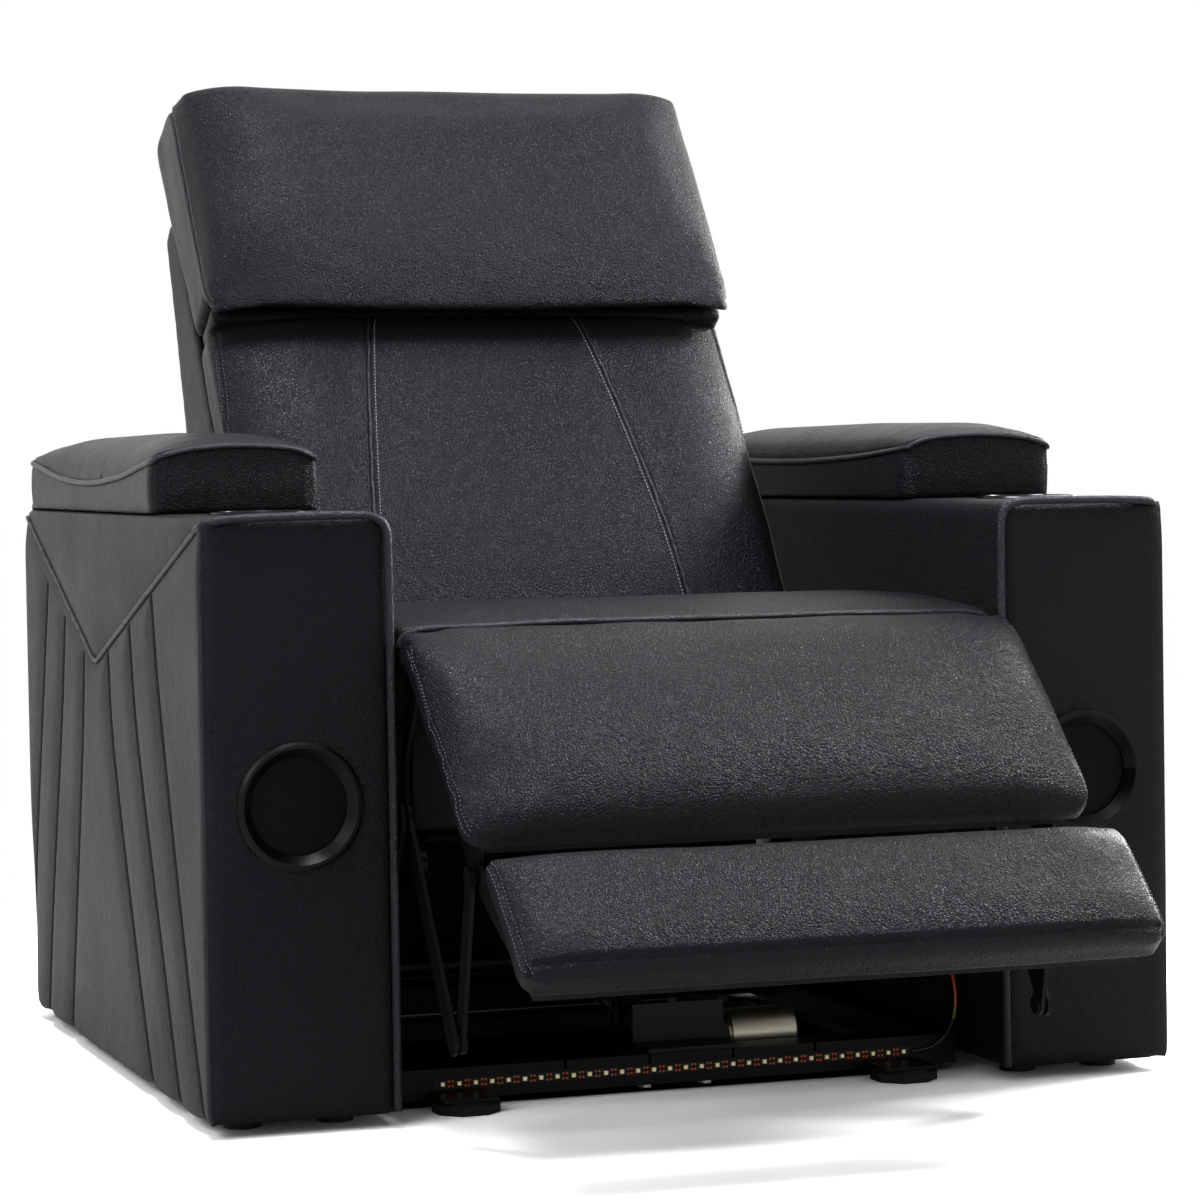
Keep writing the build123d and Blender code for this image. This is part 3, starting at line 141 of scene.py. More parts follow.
def dressed(obj, material, body, slot, *stands_for):
    """Gives a piece its finish, and says what it rides on and what it stands for."""
    obj.data.materials.clear()
    obj.data.materials.append(material)
    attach(obj, body)
    if stands_for:
        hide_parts(*stands_for)
    return obj


def made(name, data, *finish):
    """A finished piece from its mesh or curve."""
    return dressed(linked(name, data), *finish)


# PVC sheath: dyed through, smooth and a little waxy.
lead_sheath, tree, shader, place = finish_of("pvc_lead_sheath", Roughness=0.42, IOR=1.53)
height = add(tree, "SeparateXYZ", {0: place}).outputs["Z"]
upper = add(tree, "Math", {"operation": "GREATER_THAN", 1: LEAD_CHANGE, 0: height})
sheath = add(tree, "Mix", {"data_type": "RGBA", 6: linear("#5f7d22"), 7: linear("#b8432a"),
                           0: upper})
bare = add(tree, "Math", {"operation": "GREATER_THAN", 1: SLEEVE_TOP, 0: height})
sleeved = add(tree, "Mix", {"data_type": "RGBA", 6: linear("#060607"), 0: bare, 7: sheath})
wired(shader, Base_Color=sleeved)

lead_curve = bpy.data.curves.new("light_lead", "CURVE")
lead_curve.dimensions = "3D"
lead_curve.bevel_depth = LEAD_RADIUS
lead_curve.bevel_resolution = 3
lead_curve.resolution_u = 16
lead_curve.use_fill_caps = True
lead_line = lead_curve.splines.new("NURBS")
lead_line.points.add(len(LEAD_POINTS) - 1)
for point, given in zip(lead_line.points, LEAD_POINTS):
    point.co = (*at(*given), 1)
lead_line.order_u = 3
lead_line.use_endpoint_u = True
lead = made("light_lead", lead_curve, lead_sheath, "base", "lead_sheath", "led_lead")


# ---- steel base, glides and front rail -----------------------------------------------------------
# Pressed and welded steel: front cross rail, square tubes, side plates and links, powder coated
# satin black, on moulded black glides. Bolts are zinc plated. The shapes are the CAD's own.
COAT_GRAIN = 0.9           # mm, the orange peel of the powder coat
MOULD_GRAIN = 0.5          # mm, the spark-eroded texture of moulded plastic


def give(material, *node_names):
    """Gives CAD nodes a material through their own material slots."""
    for name in node_names:
        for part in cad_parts[name].material_slots:
            part.material = material


def powder_coat(name, colour, roughness):
    """Powder coat: satin, with a faint orange peel and slightly uneven gloss."""
    material, tree, shader, place = finish_of(name, Base_Color=linear(colour), IOR=1.5,
                                              Specular_IOR_Level=0.14)
    peel = add(tree, "TexNoise", {"Scale": 1000 / COAT_GRAIN, "Detail": 2, 0: place})
    wear = add(tree, "TexNoise", {"Scale": 22, "Detail": 4, 0: place})
    gloss = add(tree, "MapRange", {3: roughness - 0.08, 4: roughness + 0.1, 0: wear})
    bump = add(tree, "Bump", {"Strength": 0.25, "Distance": 0.0002, "Height": peel})
    wired(shader, Roughness=gloss, Normal=bump)
    return material


def brushed_metal(name, colour, roughness):
    """Plated or drawn metal: fine lines along one way and cloudy roughness."""
    material, tree, shader, place = finish_of(name, Metallic=1.0)
    stretched = add(tree, "Mapping", {"Scale": (60, 900, 900), 0: place})
    lines = add(tree, "TexNoise", {"Scale": 1, "Detail": 3, 0: stretched})
    gloss = add(tree, "MapRange", {3: roughness - 0.07, 4: roughness + 0.1, 0: lines})
    dull = [v * 0.8 for v in linear(colour)[:3]] + [1]
    tint = add(tree, "Mix", {"data_type": "RGBA", 6: linear(colour), 7: dull, 0: lines})
    wired(shader, Base_Color=tint, Roughness=gloss)
    return material


def moulded_plastic(name, colour, roughness, sheen=0.5):
    """Injection-moulded plastic: even colour with a fine spark-eroded texture."""
    material, tree, shader, place = finish_of(name, Base_Color=linear(colour), IOR=1.5,
                                              Roughness=roughness, Specular_IOR_Level=sheen)
    pits = add(tree, "TexNoise", {"Scale": 1000 / MOULD_GRAIN, "Detail": 2, 0: place})
    bump = add(tree, "Bump", {"Strength": 0.2, "Distance": 0.0002, "Height": pits})
    wired(shader, Normal=bump)
    return material


black_steel = powder_coat("powder_coated_steel", "#040405", 0.42)
zinc = brushed_metal("zinc_plate", "#c9ccd0", 0.3)
glide_plastic = moulded_plastic("nylon_glide", "#0b0b0c", 0.5, sheen=0.2)
give(black_steel, "front_rail", "base_frame", "side_plate_left", "side_plate_right",
     "seat_hinge_ears", "back_brackets", "footrest_brackets", "crank_left", "crank_right",
     "coupler_left", "coupler_right", "push_link_left", "push_link_right", "torque_tube",
     "lid_hinges_fixed", "lid_hinge_left", "lid_hinge_right", "seat_springs")
give(zinc, "rail_bolts")
give(glide_plastic, "floor_glides")


# ---- light strip ---------------------------------------------------------------------------------
# Flexible printed strip glued along the front rail's face: black solder resist, white lamp
# housings with yellow phosphor, bare copper solder pads and small resistors between the lamps.
STRIP_PITCH = 1000 / 60
STRIP_COUNT = 30
STRIP_Z = 22
STRIP_FACE = 94            # front of the strip, from the arms' front face


def cuboid(bm, size, middle):
    """Adds a box to a bmesh."""
    new = bmesh.ops.create_cube(bm, size=1)["verts"]
    bmesh.ops.scale(bm, vec=size, verts=new)
    bmesh.ops.translate(bm, vec=middle, verts=new)


def meshed(name, bm):
    """A bmesh's shape as a mesh."""
    mesh = bpy.data.meshes.new(name)
    bm.to_mesh(mesh)
    bm.free()
    return mesh


def boxes(places, size):
    """Small boxes of one size, in millimetres, as one mesh."""
    bm = bmesh.new()
    for place_mm in places:
        cuboid(bm, Vector(size) / 1000, at(*place_mm))
    return meshed("boxes", bm)


lamp_x = [(i + 0.5 - STRIP_COUNT / 2) * STRIP_PITCH for i in range(STRIP_COUNT)]
resist = moulded_plastic("black_solder_resist", "#0b0b0b", 0.35, sheen=0.2)
housing = moulded_plastic("white_lamp_housing", "#d8d4c8", 0.35)
phosphor = finish_of("yellow_phosphor", Base_Color=linear("#e2c25a"), Roughness=0.3,
                     Emission_Color=linear("#ffe9a0"), Emission_Strength=0.35)[0]
copper = brushed_metal("tinned_copper_pad", "#b5552b", 0.4)
strip_length = STRIP_PITCH * STRIP_COUNT
made("light_strip_base", boxes([(0, STRIP_FACE + 0.5, STRIP_Z)], (strip_length, 1, 9)), resist,
     "base", "led_strip", "led_strip")
made("lamp_housings", boxes([(x, STRIP_FACE - 0.7, STRIP_Z) for x in lamp_x], (4.4, 1.4, 4.2)),
     housing, "base", "led_strip")
made("lamp_windows", boxes([(x, STRIP_FACE - 1.45, STRIP_Z) for x in lamp_x], (2.6, 0.2, 2.8)),
     phosphor, "base", "led_strip")
pads = [(x + STRIP_PITCH / 2 + dx, STRIP_FACE - 0.15, STRIP_Z + dz)
        for x in lamp_x[:-1] for dx in (-1.8, 1.8) for dz in (-2.4, 2.4)]
made("strip_solder_pads", boxes(pads, (2.0, 0.5, 1.9)), copper, "base", "led_strip")
resistors = [(x + 4.4, STRIP_FACE - 0.3, STRIP_Z) for x in lamp_x]
made("strip_resistors", boxes(resistors, (1.4, 0.6, 2.6)), glide_plastic, "base", "led_strip")


# ---- drives --------------------------------------------------------------------------------------
# Each drive is a round black gearbox with a motor, and a nut on a rail tube. The footrest motor's
# can is bare drawn steel; the rest, like the control box, is moulded black. The boards inside are
# faced with black dust cover wherever they would show.
motor_steel = brushed_metal("drawn_motor_can", "#b7b39f", 0.34)
drive_plastic = moulded_plastic("gearbox_nylon", "#0a0a0b", 0.42, sheen=0.2)


def dust_cover():
    """Spun-bonded polypropylene under the boards: matt black, with a fine felted net."""
    material, tree, shader, place = finish_of("black_dust_cover", Roughness=0.85,
                                              Specular_IOR_Level=0.2)
    felt = add(tree, "TexVoronoi", {"feature": "DISTANCE_TO_EDGE", "Scale": 700, 0: place})
    tint = add(tree, "Mix", {"data_type": "RGBA", 6: linear("#0d0d0e"), 7: linear("#060607"),
                             0: felt})
    bump = add(tree, "Bump", {"Strength": 0.4, "Distance": 0.0002, "Height": felt})
    wired(shader, Base_Color=tint, Normal=bump)
    return material


covered_board = dust_cover()
give(motor_steel, "footrest_motor")
give(drive_plastic, "back_motor", "footrest_gearbox", "back_gearbox", "control_box",
     "headrest_actuator", "footrest_nut", "back_nut", "headrest_nut", "storage_bins",
     "speaker_drivers")
give(covered_board, "arm_frames", "seat_frame", "back_frame", "headrest_frame", "footrest_boards",
     "lid_board_left", "lid_board_right")


# ---- arms ----------------------------------------------------------------------------------------
# Each arm is a plywood box under thin foam and leather. On the outer side the leather is sewn in
# channels that fan down from a piped V; the piping goes on round the front face's upper and
# inner edges. The leather is full-grain, pigmented near black, with a fine pebble grain.
ARM_IN, ARM_OUT = 312, 490
ARM_DEPTH, ARM_TOP, ARM_FOOT = 890, 576, 13
ARM_CORNER, ARM_EDGE, ARM_TOE = 22, 7, 28
V_LINE = ((882, 567), (694, 493), (507, 419), (265, 492), (24, 564))
CHANNELS = (
    ((762, 493), (800, 380), (866, 180), (888, 30)),
    ((667, 458), (700, 340), (768, 150), (807, 17)),
    ((565, 424), (585, 320), (640, 130), (673, 14)),
    ((438, 430), (418, 330), (318, 120), (261, 15)),
    ((330, 462), (300, 350), (190, 120), (139, 17)),
    ((223, 498), (190, 380), (90, 130), (37, 16)),
)
CHANNEL_DEPTH, CHANNEL_WIDTH = 0.0040, 0.0034
CHANNEL_PLUMP, CHANNEL_SPREAD = 0.0034, 0.02
ARM_NET = 0.0075           # between the points of the arm cover's net
PIPING_RADIUS = 0.0030
EDGE_PIPING_RADIUS = 0.0042
STREAKS_FROM = (0.478, 0.486)    # from the middle, where the outer sides' drawn streaks begin
GRAIN = 2.6                # mm between the leather's pebbles, drawn twice their real size to show
CREASE = 13                # mm between the fine creases of a hide that is stretched over foam
WRINKLE = 30               # mm between soft wrinkles


def leather(name, dark="#0a0b0e", light="#111216", gloss=0.32, grain=GRAIN, streaks=0.0, wax=0.15):
    """Pigmented cowhide: pebbles with worn tops, fine creases, soft wrinkles, waxed semi-gloss."""
    material, tree, shader, place = finish_of(name, IOR=1.5, Specular_IOR_Level=wax,
                                              Specular_Tint=linear("#f1f3ff"))
    stir = add(tree, "TexNoise", {"Scale": 240, "Detail": 2, 0: place})
    stirred = add(tree, "VectorMath", {"operation": "MULTIPLY_ADD", 1: (0.004,) * 3,
                                       0: stir.outputs[1], 2: place})
    pebbles = add(tree, "TexVoronoi", {"feature": "DISTANCE_TO_EDGE", "Scale": 1000 / grain,
                                       0: stirred})
    raised = add(tree, "MapRange", {"interpolation_type": "SMOOTHSTEP", 1: 0.0, 2: 0.3,
                                    0: pebbles})
    pull = add(tree, "TexNoise", {"Scale": 70, "Detail": 3, 0: place})
    pulled = add(tree, "VectorMath", {"operation": "MULTIPLY_ADD", 1: (0.02,) * 3,
                                      0: pull.outputs[1], 2: place})
    creases = add(tree, "TexVoronoi", {"feature": "DISTANCE_TO_EDGE", "Scale": 1000 / CREASE,
                                       0: pulled})
    valleys = add(tree, "MapRange", {"interpolation_type": "SMOOTHSTEP", 1: 0.0, 2: 0.12,
                                     0: creases})
    patches = add(tree, "TexNoise", {"Scale": 9, "Detail": 3, 0: place})
    where_creased = add(tree, "MapRange", {1: 0.42, 2: 0.62, 0: patches})
    creased = add(tree, "Mix", {2: 1.0, 0: where_creased, 3: valleys})
    wrinkles = add(tree, "TexNoise", {"Scale": 1000 / WRINKLE, "Detail": 4, "Distortion": 0.8,
                                      0: place})
    fine = add(tree, "Bump", {"Strength": 0.75, "Distance": 0.0008, "Height": raised})
    middle = add(tree, "Bump", {"Strength": 0.5, "Distance": 0.0007, "Height": creased,
                                "Normal": fine})
    soft = add(tree, "Bump", {"Strength": 0.35, "Distance": 0.004, "Height": wrinkles,
                              "Normal": middle})
    colour = add(tree, "Mix", {"data_type": "RGBA", 6: linear(dark), 7: linear(light), 0: raised})
    rough = add(tree, "MapRange", {3: gloss - 0.06, 4: gloss + 0.1, 0: patches})
    if streaks:
        drawn = add(tree, "Mapping", {"Scale": (380, 380, 14), 0: place})
        lines = add(tree, "TexNoise", {"Scale": 1, "Detail": 4, 0: drawn})
        share = add(tree, "MapRange", {1: 0.38, 2: 0.66, 4: streaks, 0: lines})
        sideways = add(tree, "SeparateXYZ", {0: place}).outputs["X"]
        outwards = add(tree, "Math", {"operation": "ABSOLUTE", 0: sideways})
        on_side = add(tree, "MapRange", {1: STREAKS_FROM[0], 2: STREAKS_FROM[1], 0: outwards})
        amount = add(tree, "Math", {"operation": "MULTIPLY", 0: share, 1: on_side})
        colour = add(tree, "Mix", {"data_type": "RGBA", 7: linear("#1e2025"), 0: amount,
                                   6: colour})
    wired(shader, Base_Color=colour, Roughness=rough, Normal=soft)
    return material


def thread(name, colour):
    """Bonded polyester thread: matt, faintly twisted."""
    material, tree, shader, place = finish_of(name, Base_Color=linear(colour), Roughness=0.6)
    twist = add(tree, "TexNoise", {"Scale": 1500, "Detail": 1, 0: place})
    bump = add(tree, "Bump", {"Strength": 0.3, "Distance": 0.0001, "Height": twist})
    wired(shader, Normal=bump)
    return material


def places_of(mesh):
    places = np.empty(len(mesh.vertices) * 3)
    mesh.vertices.foreach_get("co", places)
    return places.reshape(-1, 3)


def normals_of(mesh):
    normals = np.empty(len(mesh.vertices) * 3)
    mesh.vertices.foreach_get("normal", normals)
    return normals.reshape(-1, 3)


def moved_to(mesh, places):
    mesh.vertices.foreach_set("co", np.ascontiguousarray(places, dtype=np.float64).ravel())
    mesh.update()


FINER = ("SUBSURF", {"levels": 1, "render_levels": 1})


def applied(obj, *modifiers):
    """Adds modifiers, as (type, settings), and keeps their result as the mesh."""
    for kind, settings in modifiers:
        modifier = obj.modifiers.new(kind, kind)
        for key, value in settings.items():
            setattr(modifier, key, value)
    shaped = obj.evaluated_get(bpy.context.evaluated_depsgraph_get())
    mesh = bpy.data.meshes.new_from_object(shaped)
    obj.modifiers.clear()
    obj.data = mesh
    mesh.shade_smooth()
    return obj


def worked(name, bm):
    """A bmesh as an object still being worked on."""
    return linked(name, meshed(name, bm))


def ended(obj, *finish):
    """Ends the work on a smooth piece: its finish, its body and what it stands for."""
    obj.data.shade_smooth()
    return dressed(obj, *finish)


def through(points, step=0.003):
    """A smooth line through some points, in even short steps."""
    given = [Vector(p) for p in points]
    ends = [given[0] * 2 - given[1]] + given + [given[-1] * 2 - given[-2]]
    dense = []
    for a, b, c, d in zip(ends, ends[1:], ends[2:], ends[3:]):
        for i in range(24):
            t = i / 24
            dense.append(0.5 * ((2 * b) + (c - a) * t + (2 * a - 5 * b + 4 * c - d) * t ** 2
                                + (3 * b - a - 3 * c + d) * t ** 3))
    dense.append(given[-1])
    return evenly(dense, step)


def evenly(line, step):
    """The same line with its points a step apart."""
    lengths = np.cumsum([0] + [(b - a).length for a, b in zip(line, line[1:])])
    count = max(2, round(lengths[-1] / step) + 1)
    wanted = np.linspace(0, lengths[-1], count)
    axes = [np.interp(wanted, lengths, [p[i] for p in line]) for i in range(3)]
    return [Vector(p) for p in zip(*axes)]


def laid_on(obj, line, lift=0.0, smooth=2):
    """The line moved to a piece's nearest surface, a little above it."""
    tree = BVHTree.FromPolygons([v.co for v in obj.data.vertices],
                                [p.vertices for p in obj.data.polygons])
    laid = []
    for point in line:
        spot, normal, _, _ = tree.find_nearest(point)
        laid.append(spot + normal * lift)
    for _ in range(smooth):
        middle = [(a + 2 * b + c) / 4 for a, b, c in zip(laid, laid[1:], laid[2:])]
        laid = [laid[0]] + middle + [laid[-1]]
    return laid


def distance_to(places, lines):
    """How far each place is from the nearest of some lines."""
    points = [p for line in lines for p in evenly(line, 0.001)]
    tree = KDTree(len(points))
    for i, point in enumerate(points):
        tree.insert(point, i)
    tree.balance()
    return np.array([tree.find(place)[2] for place in places])


def refined(obj, lines, reach, times=1):
    """Splits the faces near some lines, so that a seam can be shaped there."""
    for _ in range(times):
        near = distance_to(places_of(obj.data), lines) < reach
        bm = bmesh.new()
        bm.from_mesh(obj.data)
        bm.verts.ensure_lookup_table()
        edges = [e for e in bm.edges if near[e.verts[0].index] and near[e.verts[1].index]]
        bmesh.ops.subdivide_edges(bm, edges=edges, cuts=1, use_grid_fill=True)
        bm.to_mesh(obj.data)
        bm.free()


def sewn_in(obj, lines, depth, width, plump=0.0, spread=0.02, where=None):
    """Pulls the cover in along its seams and lets it stand a little proud between them."""
    places, normals = places_of(obj.data), normals_of(obj.data)
    far = distance_to(places, lines)
    move = plump * (1 - np.exp(-(far / spread) ** 2)) - depth * np.exp(-(far / width) ** 2)
    if where is not None:
        move = move * where(places)
    moved_to(obj.data, places + normals * move[:, None])


def rope(name, line, radius, material, body):
    """Piping: a round tube along a line."""
    curve = bpy.data.curves.new(name, "CURVE")
    curve.dimensions = "3D"
    curve.bevel_depth = radius
    curve.bevel_resolution = 2
    curve.use_fill_caps = True
    spline = curve.splines.new("POLY")
    spline.points.add(len(line) - 1)
    for point, spot in zip(spline.points, line):
        point.co = (*spot, 1)
    shape = linked(name, curve)
    shaped = shape.evaluated_get(bpy.context.evaluated_depsgraph_get())
    mesh = bpy.data.meshes.new_from_object(shaped)
    bpy.data.objects.remove(shape)
    mesh.shade_smooth()
    return made(name, mesh, material, body, "leather")


def stitches(name, line, material, body, pitch=0.0046, length=0.0036, radius=0.00055):
    """A row of lockstitches: one short bead of thread for each."""
    bm = bmesh.new()
    spots = evenly(line, pitch)
    for a, b in zip(spots, spots[1:]):
        along = (b - a).normalized()
        place = Matrix.Translation((a + b) / 2) @ along.to_track_quat("Z", "Y").to_matrix().to_4x4()
        place = place @ Matrix.Diagonal((radius, radius, length / 2, 1))
        bmesh.ops.create_icosphere(bm, subdivisions=1, radius=1, matrix=place)
    mesh = meshed(name, bm)
    mesh.shade_smooth()
    return made(name, mesh, material, body, "leather")


def block(low, high):
    """A box between two corners, given in millimetres."""
    bm = bmesh.new()
    cuboid(bm, at(*high) - at(*low), (at(*low) + at(*high)) / 2)
    return bm


def rounded(bm, edges, radius, segments=5):
    bmesh.ops.bevel(bm, geom=edges, offset=radius / 1000, segments=segments, profile=0.5,
                    affect="EDGES", material=-1, clamp_overlap=True)


def edges_where(bm, test):
    """The edges whose two ends both pass a test."""
    return [e for e in bm.edges if all(test(v.co) for v in e.verts)]


def bored(obj, *cutters):
    """Cuts the shapes of other objects out of a piece."""
    applied(obj, *[("BOOLEAN", {"object": c, "operation": "DIFFERENCE", "solver": "EXACT"})
                   for c in cutters])
    for cutter in cutters:
        bpy.data.objects.remove(cutter)
    return obj


def drum(centre, radius, length, axis):
    """A round cutter about a point, along one axis."""
    bm = bmesh.new()
    tip = Matrix.Rotation(pi / 2, 4, "X") if axis == "Y" else Matrix.Identity(4)
    bmesh.ops.create_cone(bm, cap_ends=True, segments=64, radius1=radius / 1000,
                          radius2=radius / 1000, depth=length / 1000,
                          matrix=Matrix.Translation(at(*centre)) @ tip)
    return worked("cutter", bm)


hide = leather("pebbled_black_leather")
side_hide = leather("smooth_black_leather", gloss=0.4, grain=2.2, streaks=0.6)
piping_hide = leather("piping_leather", dark="#0c0d10", light="#15161a", gloss=0.28, grain=1.6,
                      wax=0.4)

CUP = (401, 128, 576)
CUP_HOLE, CUP_CUT = 45.4, 160          # radius, and length of the cutter
SPEAKER = (401, 0, 306)
SPEAKER_HOLE, SPEAKER_CUT = 56, 100
BIN = ((337.5, 337.5, 446), (464.5, 802.5, 600))
PANEL_CUT = ((300, 152.5, 505.5), (341, 257.5, 538.5))


def arm(side, name):
    """One arm's leather: a rounded box, sewn in channels on its outer side."""
    bm = block((ARM_IN, 0, ARM_FOOT), (ARM_OUT, ARM_DEPTH, ARM_TOP))
    out, near = at(ARM_OUT, 0, 0).x, 1e-4
    rear, foot = at(0, ARM_DEPTH, 0).y, at(0, 0, ARM_FOOT).z
    toe = edges_where(bm, lambda p: abs(p.y - rear) < near and abs(p.z - foot) < near)
    rounded(bm, toe, ARM_TOE)
    upright = [e for e in bm.edges if all(abs(v.co.x - out) < near for v in e.verts)
               and abs(e.verts[0].co.z - e.verts[1].co.z) > 0.1]
    rounded(bm, upright, ARM_CORNER, 8)
    sharp = [e for e in bm.edges if e.calc_face_angle(0) > 0.5]
    rounded(bm, sharp, ARM_EDGE, 3)
    obj = worked(name, bm)
    applied(obj, ("REMESH", {"mode": "VOXEL", "voxel_size": ARM_NET}),
            ("SMOOTH", {"iterations": 4, "factor": 0.5}))
    v_line = through([at(ARM_OUT, *p) for p in V_LINE[:3]])[:-3]
    v_line += through([at(ARM_OUT, *p) for p in V_LINE[2:]])[3:]
    seams = [through([at(ARM_OUT, *p) for p in line]) for line in CHANNELS]
    lines = seams + [v_line]
    refined(obj, lines, 0.012, 2)
    outer = at(ARM_OUT - 6, 0, 0).x
    sewn_in(obj, lines, CHANNEL_DEPTH, CHANNEL_WIDTH, CHANNEL_PLUMP, CHANNEL_SPREAD,
            lambda p: (p[:, 0] > outer).astype(float))
    cutters = [drum((CUP[0], CUP[1], CUP[2] - CUP_CUT / 4), CUP_HOLE, CUP_CUT, "Z"),
               drum(SPEAKER, SPEAKER_HOLE, SPEAKER_CUT, "Y"),
               worked("cutter", block(*BIN))]
    if side < 0:
        cutters.append(worked("cutter", block(*PANEL_CUT)))
    bored(obj, *cutters)
    pipe_lines = [laid_on(obj, v_line, 0.0022)]
    edge_front = [at(ARM_OUT - 2, 12, 567), at(ARM_OUT - 14, 2, 572), at(ARM_OUT - 40, 0, 574),
                  at(400, 0, 575), at(340, 0, 575), at(322, 0, 571), at(315, 0, 562),
                  at(313, 0, 540), at(312.5, 0, 400), at(312.5, 0, 200), at(313, 0, 16)]
    ahead = Vector((0, -0.0005, 0))
    pipe_lines.append([pipe_lines[0][-1]] + through([p + ahead for p in edge_front]))
    return obj, pipe_lines


def mirrored(obj_or_lines):
    """The same shape on the sitter's right, with its faces turned to point outwards again."""
    if isinstance(obj_or_lines, list):
        return [Vector((-p.x, p.y, p.z)) for p in obj_or_lines]
    bm = bmesh.new()
    bm.from_mesh(obj_or_lines.data)
    bmesh.ops.scale(bm, vec=(-1, 1, 1), verts=bm.verts)
    bmesh.ops.reverse_faces(bm, faces=bm.faces)
    bm.to_mesh(obj_or_lines.data)
    bm.free()
    return obj_or_lines


for side, word in ((1, "left"), (-1, "right")):
    cover, pipes = arm(side, f"arm_leather_{word}")
    if side < 0:
        mirrored(cover)
        pipes = [mirrored(line) for line in pipes]
    ended(cover, side_hide, "base", "leather", f"arm_cover_{word}")
    for i, (line, radius) in enumerate(zip(pipes, (PIPING_RADIUS, EDGE_PIPING_RADIUS))):
        rope(f"arm_piping_{word}_{i}", line, radius, piping_hide, "base")


# ---- speakers and cup holders --------------------------------------------------------------------
# Moulded black bezel with a fine perforated steel grille in front of the driver. The cup wells
# are spun steel, plated black and polished at the rim.
GRILLE_PITCH = 2.2         # mm between holes, drawn a little coarser than real to show

bezel_plastic = moulded_plastic("satin_abs_bezel", "#060607", 0.3, sheen=0.14)
grille_steel, tree, shader, place = finish_of("perforated_black_steel", Roughness=0.5, IOR=1.5,
                                              Specular_IOR_Level=0.08)
flat = add(tree, "Mapping", {"Scale": (1, 0, 1), 0: place})
holes = add(tree, "TexVoronoi", {"Scale": 1000 / GRILLE_PITCH, "Randomness": 0, 0: flat})
rim = add(tree, "MapRange", {1: 0.28, 2: 0.36, 0: holes})
# The holes are painted near black, darker than the steel: painted shade in the gap behind them.
shade = add(tree, "Mix", {"data_type": "RGBA", 6: linear("#020202"), 7: linear("#0a0a0b"), 0: rim})
dent = add(tree, "Bump", {"Strength": 0.6, "Distance": 0.0006, "Height": rim})
wired(shader, Base_Color=shade, Normal=dent)
polished = brushed_metal("dark_polished_steel", "#2e2f32", 0.18)
give(bezel_plastic, "speaker_bezels")
give(grille_steel, "speaker_grilles")
give(polished, "cup_holder_left", "cup_holder_right")


# ---- control panel -------------------------------------------------------------------------------
# Moulded panel, pressed into a cut in the inner face of the sitter's right arm. Its four round
# push buttons are moulded with a softer skin and carry no marks.
panel_plastic = moulded_plastic("satin_abs_panel", "#0a0a0b", 0.36, sheen=0.25)
button_plastic = moulded_plastic("soft_touch_button", "#232427", 0.55, sheen=0.25)
give(panel_plastic, "control_panel")
give(button_plastic, "recline_button", "upright_button", "head_forward_button", "head_back_button")


# ---- armrest pads --------------------------------------------------------------------------------
# Foam-topped lids over the storage bins. A piped top panel rolls down to sewn boxing, which is
# lowest half way along, and a short upright seam joins the boxing at the outer front corner.
LID_X, LID_Y, LID_FOOT = (315, 484), (239, 889), 577
LID_PIPING = ((889, 629), (704, 611), (538, 606), (383, 613), (285, 624), (239, 629))
LID_INNER = ((889, 630), (704, 618), (538, 616), (383, 620), (285, 626), (239, 630))
LID_CROWN = ((889, 640), (840, 650), (770, 655), (500, 657), (300, 655), (262, 650), (239, 643))
LID_ROUND = 2.3            # how square the crown is across
LID_CORNER = 0.016         # radius of the pad's corners, from above
LID_BULGE = 0.0016         # how far the boxing swells


def height_at(points, y):
    """Height in millimetres at a distance behind the arms' front face."""
    ordered = sorted(points)
    return np.interp(y, [p[0] for p in ordered], [p[1] for p in ordered])


def lid_profile(x, y):
    """Height of the pad's top panel above a place on the arm."""
    middle, half = (LID_X[0] + LID_X[1]) / 2, (LID_X[1] - LID_X[0]) / 2
    across = min(1.0, abs(x - middle) / half)
    edge = height_at(LID_PIPING if x > middle else LID_INNER, y)
    return edge + (height_at(LID_CROWN, y) - edge) * (1 - across ** LID_ROUND) ** (1 / LID_ROUND)


